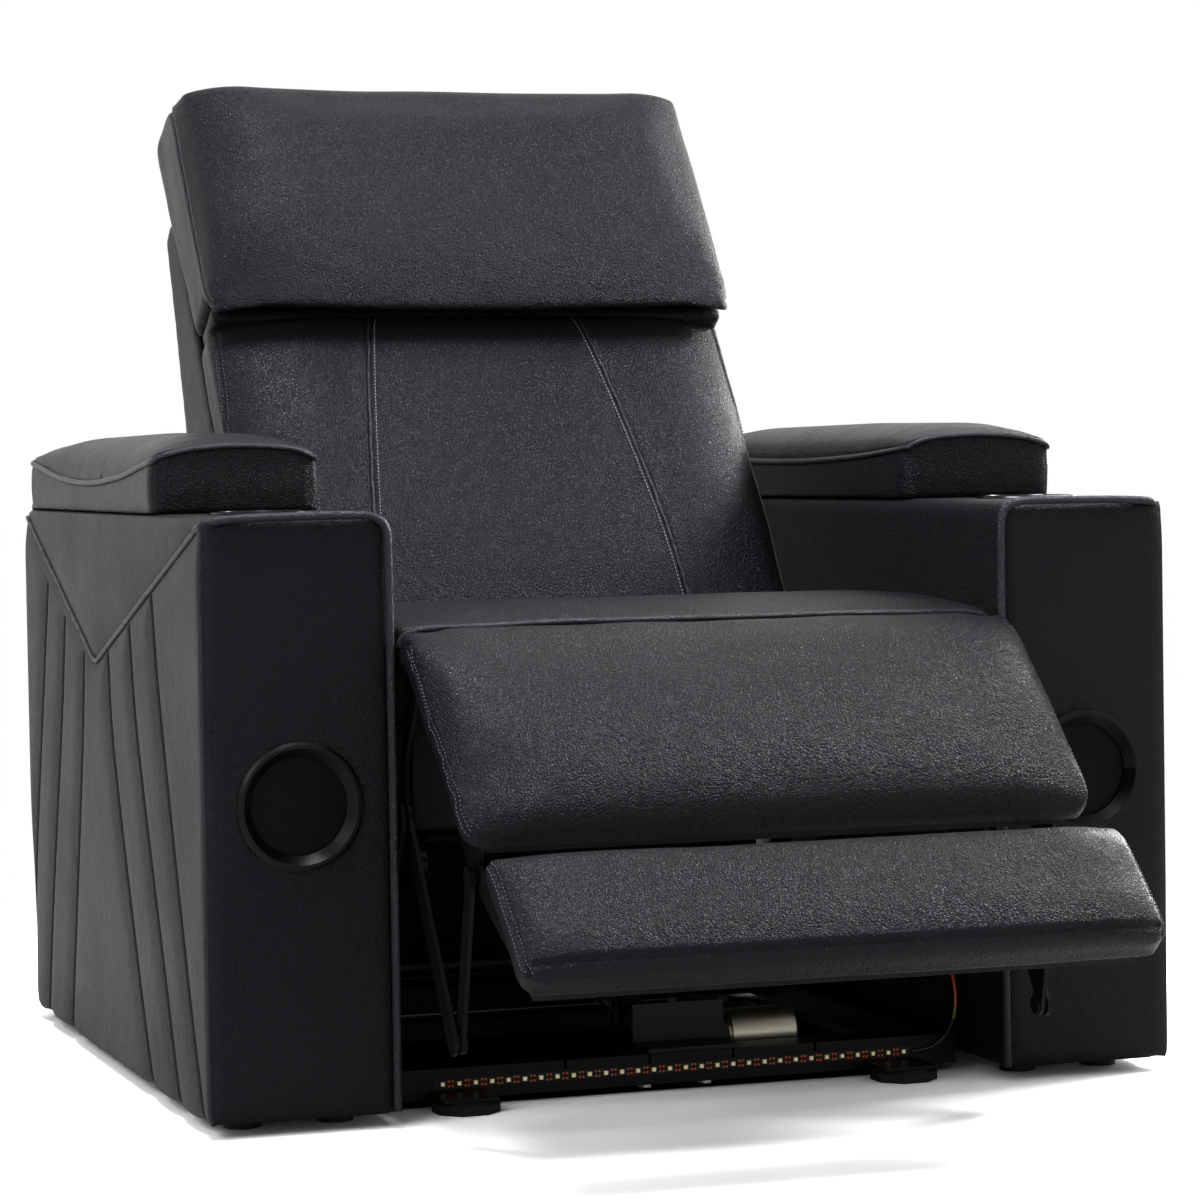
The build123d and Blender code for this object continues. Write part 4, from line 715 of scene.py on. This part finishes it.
def lid(name):
    bm = bmesh.new()
    bmesh.ops.create_grid(bm, x_segments=34, y_segments=130, size=0.5)
    size = at(LID_X[1], LID_Y[1], 0) - at(LID_X[0], LID_Y[0], 0)
    bmesh.ops.scale(bm, vec=(size.x, size.y, 1), verts=bm.verts)
    middle = (at(LID_X[0], LID_Y[0], 0) + at(LID_X[1], LID_Y[1], 0)) / 2
    bmesh.ops.translate(bm, vec=middle, verts=bm.verts)
    rim = [e for e in bm.edges if e.is_boundary]
    low = {v: bm.verts.new(v.co) for v in list(bm.verts) if v.is_boundary}
    for a, b in [e.verts for e in rim]:
        bm.faces.new((a, b, low[b], low[a]))
    for v in bm.verts:
        v.co.z = lid_profile(v.co.x * 1000, (v.co.y - FRONT_Y) * 1000) / 1000
    for v in low.values():
        v.co.z = LID_FOOT / 1000
    upright = [e for e in bm.edges if abs(e.verts[0].co.z - e.verts[1].co.z) > 0.02]
    bmesh.ops.subdivide_edges(bm, edges=upright, cuts=5, use_grid_fill=True)
    bmesh.ops.recalc_face_normals(bm, faces=bm.faces)
    corners = [(at(x, y, 0).x, at(x, y, 0).y) for x in LID_X for y in LID_Y]
    for v in bm.verts:
        for cx, cy in corners:
            dx, dy = v.co.x - cx, v.co.y - cy
            inner = Vector((cx - np.sign(cx - middle.x) * LID_CORNER,
                            cy - np.sign(cy - middle.y) * LID_CORNER))
            away = Vector((v.co.x, v.co.y)) - inner
            outside = abs(dx) < LID_CORNER and abs(dy) < LID_CORNER
            if outside and away.length > LID_CORNER:
                away = away.normalized() * LID_CORNER
                v.co.x, v.co.y = inner.x + away.x, inner.y + away.y
        rise = (v.co.z * 1000 - LID_FOOT) / 50
        if 0 < rise < 1:
            bulge = LID_BULGE * sin(pi * rise)
            v.co.x += bulge * np.sign(v.co.x - middle.x) * (abs(v.co.x - middle.x) > size.x * 0.47)
            v.co.y += bulge * np.sign(v.co.y - middle.y) * (abs(v.co.y - middle.y) > size.y * 0.49)
    obj = worked(name, bm)
    applied(obj, FINER)
    bm = bmesh.new()
    bm.from_mesh(obj.data)
    bmesh.ops.edgeloop_fill(bm, edges=[e for e in bm.edges if e.is_boundary])
    bmesh.ops.recalc_face_normals(bm, faces=bm.faces)
    bm.to_mesh(obj.data)
    bm.free()
    x_in, x_out = LID_X
    round_line = [at(x_out, y, z) for y, z in LID_PIPING]
    round_line += [at(x_out - 8, LID_Y[0] + 1, 632), at(440, LID_Y[0], 640), at(400, LID_Y[0], 643),
                   at(350, LID_Y[0], 640), at(x_in + 8, LID_Y[0] + 1, 632)]
    round_line += [at(x_in, y, z) for y, z in reversed(LID_INNER)]
    ring = through(round_line)
    seam = through([at(x_out - 1, LID_Y[0] + 3, 626), at(x_out - 1, LID_Y[0] + 3, 600),
                    at(x_out - 1, LID_Y[0] + 3, 580)])
    refined(obj, [ring, seam], 0.008)
    sewn_in(obj, [ring], 0.0022, 0.0034)
    sewn_in(obj, [seam], 0.0018, 0.0022)
    return obj, [laid_on(obj, ring, 0.0014)]


for side, word in ((1, "left"), (-1, "right")):
    pad, pipes = lid(f"lid_leather_{word}")
    if side < 0:
        mirrored(pad)
        pipes = [mirrored(line) for line in pipes]
    ended(pad, hide, f"lid_{word}", "leather", f"lid_pad_{word}")
    for i, line in enumerate(pipes):
        rope(f"lid_piping_{word}_{i}", line, PIPING_RADIUS, piping_hide, f"lid_{word}")


# ---- seat cushion and front board ----------------------------------------------------------------
# Foam cushion over sinuous springs, in leather that is pulled tight over a rounded nose. A piped
# seam runs along the upper front edge. Under it a leather-faced board closes the seat box.
WELT = ((-307, 6, 452), (-303, -8, 461), (-292, -10, 470), (-270, -6, 475), (-150, -3, 479),
        (0, -3, 480), (150, -3, 479), (270, -6, 475), (292, -10, 470), (303, -8, 461),
        (307, 6, 452))
PAD_NET = 0.008            # between the points of a pad's net
PAD_SMOOTHING = 8          # rounds that soften the net's corners
EVENING = 30               # rounds that spread a swell over the net
FOAM_PRESSURE = 4.0        # presses the cover outwards
FOAM_SHRINK = 0.002        # the slack that the cover starts with
CLOTH_FRAMES = 20
gusset_thread = thread("dark_polyester_thread", "#4c4f56")
seam_thread = thread("grey_polyester_thread", "#8e929a")


def fade(value, low, high):
    """0 below low, 1 above high, even between."""
    return np.clip((value - low) / (high - low), 0, 1)


def pad_of(node, name):
    """A pad's cover, started from its soft solid: one even net of small faces."""
    bm = bmesh.new()
    bm.from_mesh(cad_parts[node].data)
    bmesh.ops.remove_doubles(bm, verts=bm.verts, dist=1e-5)
    obj = worked(name, bm)
    return applied(obj, ("REMESH", {"mode": "VOXEL", "voxel_size": PAD_NET}),
                   ("SMOOTH", {"iterations": PAD_SMOOTHING, "factor": 0.5}))


def evened(mesh, move):
    """Spreads a move over neighbouring places, so that foam fills out what cloth would pinch."""
    edges = np.empty(len(mesh.edges) * 2, dtype=np.int64)
    mesh.edges.foreach_get("vertices", edges)
    one, other = edges.reshape(-1, 2).T
    neighbours = np.bincount(edges, minlength=len(move))[:, None]
    for _ in range(EVENING):
        total = np.zeros_like(move)
        np.add.at(total, one, move[other])
        np.add.at(total, other, move[one])
        move = (move + total / neighbours) / 2
    return move


def rolled(obj, ahead, out, depth, start, half, drop):
    """Rolls a pad's face back towards its two sides. Depth is where the roll starts and is full."""
    places = places_of(obj.data)
    side = fade(np.abs(places[:, 0]) * 1000, start, half)
    share = fade(ahead, *depth)
    moved_to(obj.data, places - np.array(out) * (drop / 1000 * side ** 2 * share)[:, None])


def cornered(obj, along, end, radius, half):
    """Rounds a pad's two corners at one end, seen from the front."""
    places = places_of(obj.data)
    past = np.clip(1 - np.abs(end - along) / radius, 0, 1)
    reach = radius * (1 - np.sqrt(1 - past ** 2)) / 1000
    inner = half / 1000 - 2 * radius / 1000
    share = np.clip((np.abs(places[:, 0]) - inner) / (2 * radius / 1000), 0, 1)
    places[:, 0] -= np.sign(places[:, 0]) * reach * share
    moved_to(obj.data, places)


def plumped(obj, held, cap, firm=0.0):
    """Cloth under pressure: the cover swells over its foam between the places that hold it."""
    rest, normals = places_of(obj.data), normals_of(obj.data)
    start = rest - normals * (FOAM_SHRINK * (1 - held))[:, None]
    moved_to(obj.data, start)
    group = obj.vertex_groups.new(name="held")
    levels = np.round(held * 10).astype(int)
    for level in range(1, 11):
        group.add([int(i) for i in np.flatnonzero(levels == level)], level / 10, "REPLACE")
    cloth = obj.modifiers.new("cover", "CLOTH")
    cloth.settings.vertex_group_mass = "held"
    cloth.settings.use_pressure = True
    cloth.settings.uniform_pressure_force = FOAM_PRESSURE
    cloth.settings.effector_weights.gravity = 0
    cloth.settings.bending_stiffness = 2
    cloth.settings.quality = 4
    cloth.collision_settings.use_collision = False
    scene = bpy.context.scene
    for number in range(1, CLOTH_FRAMES + 1):
        scene.frame_set(number)
    shaped = obj.evaluated_get(bpy.context.evaluated_depsgraph_get())
    swollen = places_of(shaped.data)
    obj.modifiers.clear()
    obj.vertex_groups.clear()
    scene.frame_set(1)
    move = swollen - start
    far = np.maximum(np.linalg.norm(move, axis=1), 1e-9)
    move = evened(obj.data, move * (cap * np.tanh(far / cap) / far)[:, None])
    move *= 1 - np.reshape(firm, (-1, 1))
    moved_to(obj.data, start + move)


def dimpled(obj, height, size, seed):
    """Slack leather over foam: shallow hollows of a given size."""
    places, normals = places_of(obj.data), normals_of(obj.data)
    shift = Vector((seed, seed * 2, seed * 3))
    wave = np.array([noise.noise(Vector(p) / size + shift) for p in places])
    moved_to(obj.data, places + normals * (height * wave)[:, None])


def near_to(places, lines, reach):
    """How firmly seams hold each place: 1 on them, and less the further from them."""
    return np.exp(-(distance_to(places, lines) / reach) ** 2)


def on_both_sides(half, points, placed):
    """A smooth line on each side of a pad, from (ahead, along) or like pairs."""
    return [through([placed(side * half, *p) for p in points]) for side in (-1, 1)]


def filled(pad, held, seams, cap, half, hollows, firm=0.0):
    """Swells a pad clear of the arms and gives its seams fine faces; its seams on the new shape."""
    plumped(pad, held, cap, firm)
    places = places_of(pad.data)
    places[:, 0] = np.clip(places[:, 0], -half / 1000, half / 1000)
    moved_to(pad.data, places)
    applied(pad, FINER)
    dimpled(pad, *hollows)
    seams = [laid_on(pad, line) for line in seams]
    refined(pad, seams, 0.010)
    return seams


seat = pad_of("seat_cushion", "seat_leather")
welt = through([at(*p) for p in WELT])
places = places_of(seat.data)
held = near_to(places, [welt], 0.008)
held = np.maximum(held, fade(-normals_of(seat.data)[:, 2], 0.5, 0.8))
held = np.maximum(held, fade(places[:, 1], at(0, 470, 0).y, at(0, 490, 0).y))
welt, = filled(seat, held, [welt], 0.004, 308.5, (0.0012, 0.09, 1.0))
sewn_in(seat, [welt], 0.0030, 0.0045)
rope("seat_piping", laid_on(seat, welt, 0.0028), 0.0032, piping_hide, "base")
ended(seat, hide, "base", "leather", "seat_cushion")


def board_cover(node, name, radius, body):
    """Leather pulled over a board: its box with soft edges."""
    low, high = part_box(node)
    bm = bmesh.new()
    cuboid(bm, high - low, (low + high) / 2)
    rounded(bm, list(bm.edges), radius, 3)
    return ended(worked(name, bm), hide, body, "leather", node)


board_cover("seat_apron", "seat_front_leather", 3, "base")


# ---- footrest pads -------------------------------------------------------------------------------
# Two foam pads on one frame: a deep rolled calf pad that starts under the seat's nose, and a
# thinner foot pad beyond it. The crown panel meets narrow side gussets at twin-stitched seams.
KNEE = (-26, 446)
FOOT_ANGLE = radians(46.6)
CALF_SEAM = ((2, 13), (70, 13), (124, 16), (175, 19), (220, 17), (246, 11))
FOOT_SEAM = ((288, 40), (300, 52), (340, 57), (390, 58), (424, 56), (433, 50))
FOOT_BAND = 425            # along the footrest, the seam above the foot pad's lower edge
REAR_FACE = {"calf_pad": 2, "foot_pad": 26}    # the pads' flat backs, ahead of the hinge line
PAD_ROLL = {"calf_pad": (8, 40), "foot_pad": (36, 64)}  # where a face starts to roll, and is full
FIRM_END = (25, 70)        # along the footrest, where the calf pad's end under the seat stays low
KNEE_HELD = 60             # along the footrest, where the calf pad is free to swell


def on_footrest(x, along, ahead):
    """A place on the footrest: along it from the hinge, and ahead of the hinge line."""
    y = -ahead * cos(FOOT_ANGLE) - along * sin(FOOT_ANGLE)
    z = -along * cos(FOOT_ANGLE) + ahead * sin(FOOT_ANGLE)
    return at(x, KNEE[0] + y, KNEE[1] + z)


def local_footrest(places):
    """Distance along the footrest and ahead of it, in millimetres, for each place."""
    y = (places[:, 1] - FRONT_Y) * 1000 - KNEE[0]
    z = places[:, 2] * 1000 - KNEE[1]
    along = -y * sin(FOOT_ANGLE) - z * cos(FOOT_ANGLE)
    return along, -y * cos(FOOT_ANGLE) + z * sin(FOOT_ANGLE)


def twin_stitched(name, obj, line, body, gap=0.0045):
    """Two rows of stitches, one on each side of a seam."""
    laid = laid_on(obj, line)
    tree = BVHTree.FromPolygons([v.co for v in obj.data.vertices],
                                [p.vertices for p in obj.data.polygons])
    rows = []
    for row, way in enumerate((-1, 1)):
        beside = []
        for a, b, c in zip(laid, laid[1:], laid[2:]):
            normal = tree.find_nearest(b)[1]
            beside.append(b + (c - a).normalized().cross(normal) * gap * way)
        rows.append(stitches(f"{name}_{row}", laid_on(obj, beside, 0.0003), gusset_thread, body))
    return rows


def footrest_pad(node, name, seam_points, cap, extra=()):
    pad = pad_of(node, name)
    half = (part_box(node)[1].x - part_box(node)[0].x) * 500
    along, ahead = local_footrest(places_of(pad.data))
    forward = on_footrest(0, 0, 1000) - on_footrest(0, 0, 0)
    rolled(pad, ahead, forward, PAD_ROLL[node], half - 70, half, 13)
    cornered(pad, along, along.max(), 24, half)
    seams = on_both_sides(half, seam_points, on_footrest) + [through(line) for line in extra]
    seams = [laid_on(pad, line) for line in seams]
    along, ahead = local_footrest(places_of(pad.data))
    held = near_to(places_of(pad.data), seams, 0.009)
    held = np.maximum(held, fade(-ahead, -REAR_FACE[node] - 8, -REAR_FACE[node]))
    held = np.maximum(held, fade(-along, -KNEE_HELD, -10))
    seams = filled(pad, held, seams, cap, half + 1.5, (0.0016, 0.08, 4.0 if extra else 3.0),
                   fade(-along, -FIRM_END[1], -FIRM_END[0]))
    sewn_in(pad, seams, 0.0032, 0.0036)
    for number, line in enumerate(seams[:2]):
        twin_stitched(f"{name}_stitches_{number}", pad, line, "footrest")
    ended(pad, hide, "footrest", "leather", node)


band = [on_footrest(x, FOOT_BAND, 66) for x in (-300, -150, 0, 150, 300)]
footrest_pad("calf_pad", "calf_leather", CALF_SEAM, 0.014)
footrest_pad("foot_pad", "foot_leather", FOOT_SEAM, 0.010, [band])


# ---- back cushion --------------------------------------------------------------------------------
# Foam cushion on the back's frame, in three sewn panels: two long seams, piped and topstitched in
# pale thread, fan out downwards from under the headrest. Side gussets are twin-stitched.
BACK_PIVOT = (575, 395)
RECLINE = radians(34.6)
BACK_SEAM_X = ((122, 415), (128, 396), (150, 260), (168, 120), (177, 20))
BACK_SIDE = ((52, 12), (54, 90), (56, 180), (60, 269), (72, 339), (78, 412))


def on_back(x, ahead, along):
    """A place on the back: ahead of its pivot line, and along it from the pivot."""
    y = -ahead * cos(RECLINE) + along * sin(RECLINE)
    z = ahead * sin(RECLINE) + along * cos(RECLINE)
    return at(x, BACK_PIVOT[0] + y, BACK_PIVOT[1] + z)


def local_back(places):
    """Distance ahead of the pivot line and along the back, in millimetres, for each place."""
    y = (places[:, 1] - FRONT_Y) * 1000 - BACK_PIVOT[0]
    z = places[:, 2] * 1000 - BACK_PIVOT[1]
    return -y * cos(RECLINE) + z * sin(RECLINE), y * sin(RECLINE) + z * cos(RECLINE)


back = pad_of("back_cushion", "back_leather")
forward = on_back(0, 1000, 0) - on_back(0, 0, 0)
upwards = on_back(0, 0, 1) - on_back(0, 0, 0)
rolled(back, local_back(places_of(back.data))[0], forward, (45, 88), 190, 308, 26)
seams = [through([on_back(side * x, 96, s) for x, s in BACK_SEAM_X]) for side in (-1, 1)]
seams += on_both_sides(307, BACK_SIDE, on_back)
seams = [laid_on(back, line) for line in seams]
places = places_of(back.data)
ahead, along = local_back(places)
held = near_to(places, seams, 0.009)
held = np.maximum(held, fade(-ahead, -34, -22))
held = np.maximum(held, fade(along, 405, 416))
held = np.maximum(held, fade(-along, -16, -6))
seams = filled(back, held, seams, 0.014, 308.5, (0.0016, 0.1, 5.0))
long_seams, side_seams = seams[:2], seams[2:]
sewn_in(back, long_seams, 0.0034, 0.0040)
sewn_in(back, side_seams, 0.0026, 0.0036)
for number, line in enumerate(long_seams):
    rope(f"back_piping_{number}", laid_on(back, line, 0.0006, 10), 0.0020, piping_hide, "back")
    beside = [p + Vector((-0.0068 if number else 0.0068, 0, 0)) for p in line]
    stitches(f"back_topstitch_{number}", laid_on(back, beside, 0.0004, 10), seam_thread, "back")
    twin_stitched(f"back_gusset_stitches_{number}", back, side_seams[number], "back")
ended(back, hide, "back", "leather", "back_cushion")

# A slim roll of wadding closes the gap under the headrest.
ROLL_SIZE = (0.606, 0.062, 0.022)
bm = bmesh.new()
cuboid(bm, ROLL_SIZE, (0, 0, 0))
rounded(bm, list(bm.edges), 9, 4)
bmesh.ops.rotate(bm, verts=bm.verts, cent=(0, 0, 0), matrix=Matrix.Rotation(-RECLINE, 3, "X"))
bmesh.ops.translate(bm, verts=bm.verts, vec=on_back(0, 56, 424))
top_roll = ended(worked("back_top_roll", bm), hide, "back", "leather")
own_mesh(top_roll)


# ---- outside back --------------------------------------------------------------------------------
# A padded shell closes the back from behind: board under thin foam, in the same smooth leather as
# the arms' sides. It is fixed to the back's frame, and its edges are soft.
shell = pad_of("outside_back", "outside_back_leather")
applied(shell, FINER)
ended(shell, side_hide, "back", "leather", "outside_back")


# ---- rear shade sheet ----------------------------------------------------------------------------
# A black sheet closes the rear of the steel base, down to just above the floor: painted shade,
# standing in for the dark inside of the base. It is stretched between the arms' inner sides.
SHEET_X, SHEET_Z, SHEET_Y = 308, (3, 270), 668
bm = bmesh.new()
bmesh.ops.create_grid(bm, x_segments=60, y_segments=24, size=0.5)
bmesh.ops.rotate(bm, verts=bm.verts, cent=(0, 0, 0), matrix=Matrix.Rotation(pi / 2, 3, "X"))
bmesh.ops.scale(bm, vec=(SHEET_X / 500, 1, (SHEET_Z[1] - SHEET_Z[0]) / 1000), verts=bm.verts)
bmesh.ops.translate(bm, vec=at(0, SHEET_Y, sum(SHEET_Z) / 2), verts=bm.verts)
for v in bm.verts:
    slack = cos(v.co.x * 500 / SHEET_X * pi) * sin((v.co.z * 1000 - SHEET_Z[0]) / 60)
    v.co.y += 0.0012 * slack + 0.0012
bmesh.ops.solidify(bm, geom=bm.faces, thickness=0.0006)
bmesh.ops.recalc_face_normals(bm, faces=bm.faces)
# A black sheet standing in for the shade inside the base: painted shade.
shade_sheet = ended(worked("rear_shade_sheet", bm), covered_board, "base", "leather")


# ---- headrest ------------------------------------------------------------------------------------
# Thick bolster on its own hinged board: one panel rolls over the face and the top, and meets the
# side gussets at twin-stitched seams that are pulled in at the lower corners.
HEAD_SIDE = ((112, 418), (100, 430), (93, 470), (92, 540), (92, 620), (88, 690), (74, 728),
             (40, 745), (8, 748))
LIP, LIP_MIDDLE = 8, 15    # the slack lower lip hangs this far, and further in the middle
HEAD_TOP = 752             # along the back, the bolster's top
head = pad_of("headrest_pad", "headrest_leather")
ahead, along = local_back(places_of(head.data))
rolled(head, ahead, forward, (60, 130), 230, 310, 24)
cornered(head, along, HEAD_TOP, 34, 310)
cornered(head, along, 407, 20, 310)
lip = fade(-along, -490, -425) * fade(ahead, 90, 118)
lip *= LIP + LIP_MIDDLE * (1 - np.clip(np.abs(places_of(head.data)[:, 0]) / 0.31, 0, 1) ** 2)
moved_to(head.data, places_of(head.data) - np.outer(lip, upwards))
head_seams = [laid_on(head, line) for line in on_both_sides(310, HEAD_SIDE, on_back)]
places = places_of(head.data)
ahead, along = local_back(places)
held = near_to(places, head_seams, 0.010)
held = np.maximum(held, fade(-ahead, -26, -12) * fade(-along, -742, -736))
under = (along < 452) & (ahead < 118)
held = np.maximum(held, under.astype(float))
head_seams = filled(head, held, head_seams, 0.010, 311.5, (0.0018, 0.1, 7.0))
sewn_in(head, head_seams, 0.0030, 0.0040)
head_pieces = [head]
for number, line in enumerate(head_seams):
    head_pieces += twin_stitched(f"headrest_stitches_{number}", head, line, "headrest")
ended(head, hide, "headrest", "leather", "headrest_pad")
for piece in head_pieces:
    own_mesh(piece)


# ---- floor and lights ----------------------------------------------------------------------------
# White sweep that keeps a soft shadow near the chair and is seen as plain white further off, with
# painted shade under the base, seen only by the camera; large soft lamps at a plain level.
FLOOR_SIZE = 14
FLOOR_LIFT = 2.4           # the floor near the chair, as the camera sees it, so that it reads white
FAR_FROM, FAR_TO = 0.8, 1.7      # from the chair's middle, where the floor turns plain white
PAINTED_SHADE_MIDDLE = 0.08        # the painted shade under the base: its middle, behind the chair's own
PAINTED_SHADE_SIDES = (0.33, 0.27)       # half of its width, where it fades out and where it is full
PAINTED_SHADE_ENDS = (0.31, 0.29)        # half of its length, in the same way


def area_lamp(name, place, target, size, watts):
    lamp = linked(name, bpy.data.lights.new(name, "AREA"))
    lamp.data.shape = "RECTANGLE"
    lamp.data.size, lamp.data.size_y = size
    lamp.data.energy = watts
    lamp.location = place
    aim = Vector(target) - Vector(place)
    lamp.rotation_euler = aim.to_track_quat("-Z", "Y").to_euler()


area_lamp("top_softbox", (-0.45, -0.2, 2.9), (-0.1, 0, 0.5), (0.9, 0.9), 76)
area_lamp("left_softbox", (-2.6, -1.8, 2.2), (0, 0, 0.6), (1.5, 1.5), 28)
area_lamp("right_softbox", (2.2, 0.3, 2.3), (0.1, 0.1, 0.7), (0.8, 0.9), 74)
area_lamp("rear_strip", (2.3, 1.7, 1.0), (0.2, 0, 0.4), (0.5, 1.5), 46)

bm = bmesh.new()
bmesh.ops.create_grid(bm, x_segments=1, y_segments=1, size=FLOOR_SIZE / 2)
floor = worked("floor", bm)
floor_paint, tree, shader, place = finish_of("white_studio_floor", Base_Color=linear("#e8e8e8"),
                                             Roughness=0.5)
away = add(tree, "VectorMath", {"operation": "LENGTH", 0: place})
far_off = add(tree, "MapRange", {"interpolation_type": "SMOOTHSTEP", 1: FAR_FROM, 2: FAR_TO,
                                 0: away})
apart = add(tree, "SeparateXYZ", {0: place})
sideways = add(tree, "Math", {"operation": "ABSOLUTE", 0: apart.outputs["X"]})
backwards = add(tree, "Math", {"operation": "SUBTRACT", 1: PAINTED_SHADE_MIDDLE, 0: apart.outputs["Y"]})
lengthways = add(tree, "Math", {"operation": "ABSOLUTE", 0: backwards})
from_sides = add(tree, "MapRange", {"interpolation_type": "SMOOTHSTEP", 1: PAINTED_SHADE_SIDES[0],
                                    2: PAINTED_SHADE_SIDES[1], 3: 0, 4: 1, 0: sideways})
from_ends = add(tree, "MapRange", {"interpolation_type": "SMOOTHSTEP", 1: PAINTED_SHADE_ENDS[0],
                                   2: PAINTED_SHADE_ENDS[1], 3: 0, 4: 1, 0: lengthways})
painted_shade_share = add(tree, "Math", {"operation": "MULTIPLY", 0: from_sides, 1: from_ends})
# The floor colour goes near black under the base: painted shade, seen only by the camera.
pale = add(tree, "Mix", {"data_type": "RGBA", 6: (FLOOR_LIFT,) * 3 + (1,), 7: linear("#1c1c1c"),
                         0: painted_shade_share})
lit = add(tree, "BsdfDiffuse", {"Color": pale})
plain_white = add(tree, "Emission", {"Strength": 1.0})
rays = add(tree, "LightPath")
near = add(tree, "MixShader", {0: rays.outputs["Is Camera Ray"], 1: shader, 2: lit})
shiny = add(tree, "Math", {"operation": "MAXIMUM", 0: rays.outputs["Is Glossy Ray"],
                           1: rays.outputs["Is Transmission Ray"]})
shown = add(tree, "Math", {"operation": "MAXIMUM", 0: rays.outputs["Is Camera Ray"], 1: shiny})
shown_white = add(tree, "Math", {"operation": "MULTIPLY", 0: far_off, 1: shown})
seen = add(tree, "MixShader", {0: shown_white, 1: near, 2: plain_white})
wired(tree.nodes["Material Output"], Surface=seen)
floor.data.materials.append(floor_paint)

world = bpy.data.worlds.new("studio")
bpy.context.scene.world = world
world.use_nodes = True
tree = world.node_tree
tree.nodes.clear()
rays = add(tree, "LightPath")
shiny = add(tree, "Math", {"operation": "MAXIMUM", 0: rays.outputs["Is Glossy Ray"],
                           1: rays.outputs["Is Transmission Ray"]})
seen = add(tree, "Math", {"operation": "MAXIMUM", 0: rays.outputs["Is Camera Ray"], 1: shiny})
soft = add(tree, "Background", {"Color": linear("#ffffff"), "Strength": 0.32})
white = add(tree, "Background", {"Color": linear("#ffffff"), "Strength": 1.0})
both = add(tree, "MixShader", {0: seen, 1: soft, 2: white})
add(tree, "OutputWorld", {0: both})

bpy.context.view_layer.update()
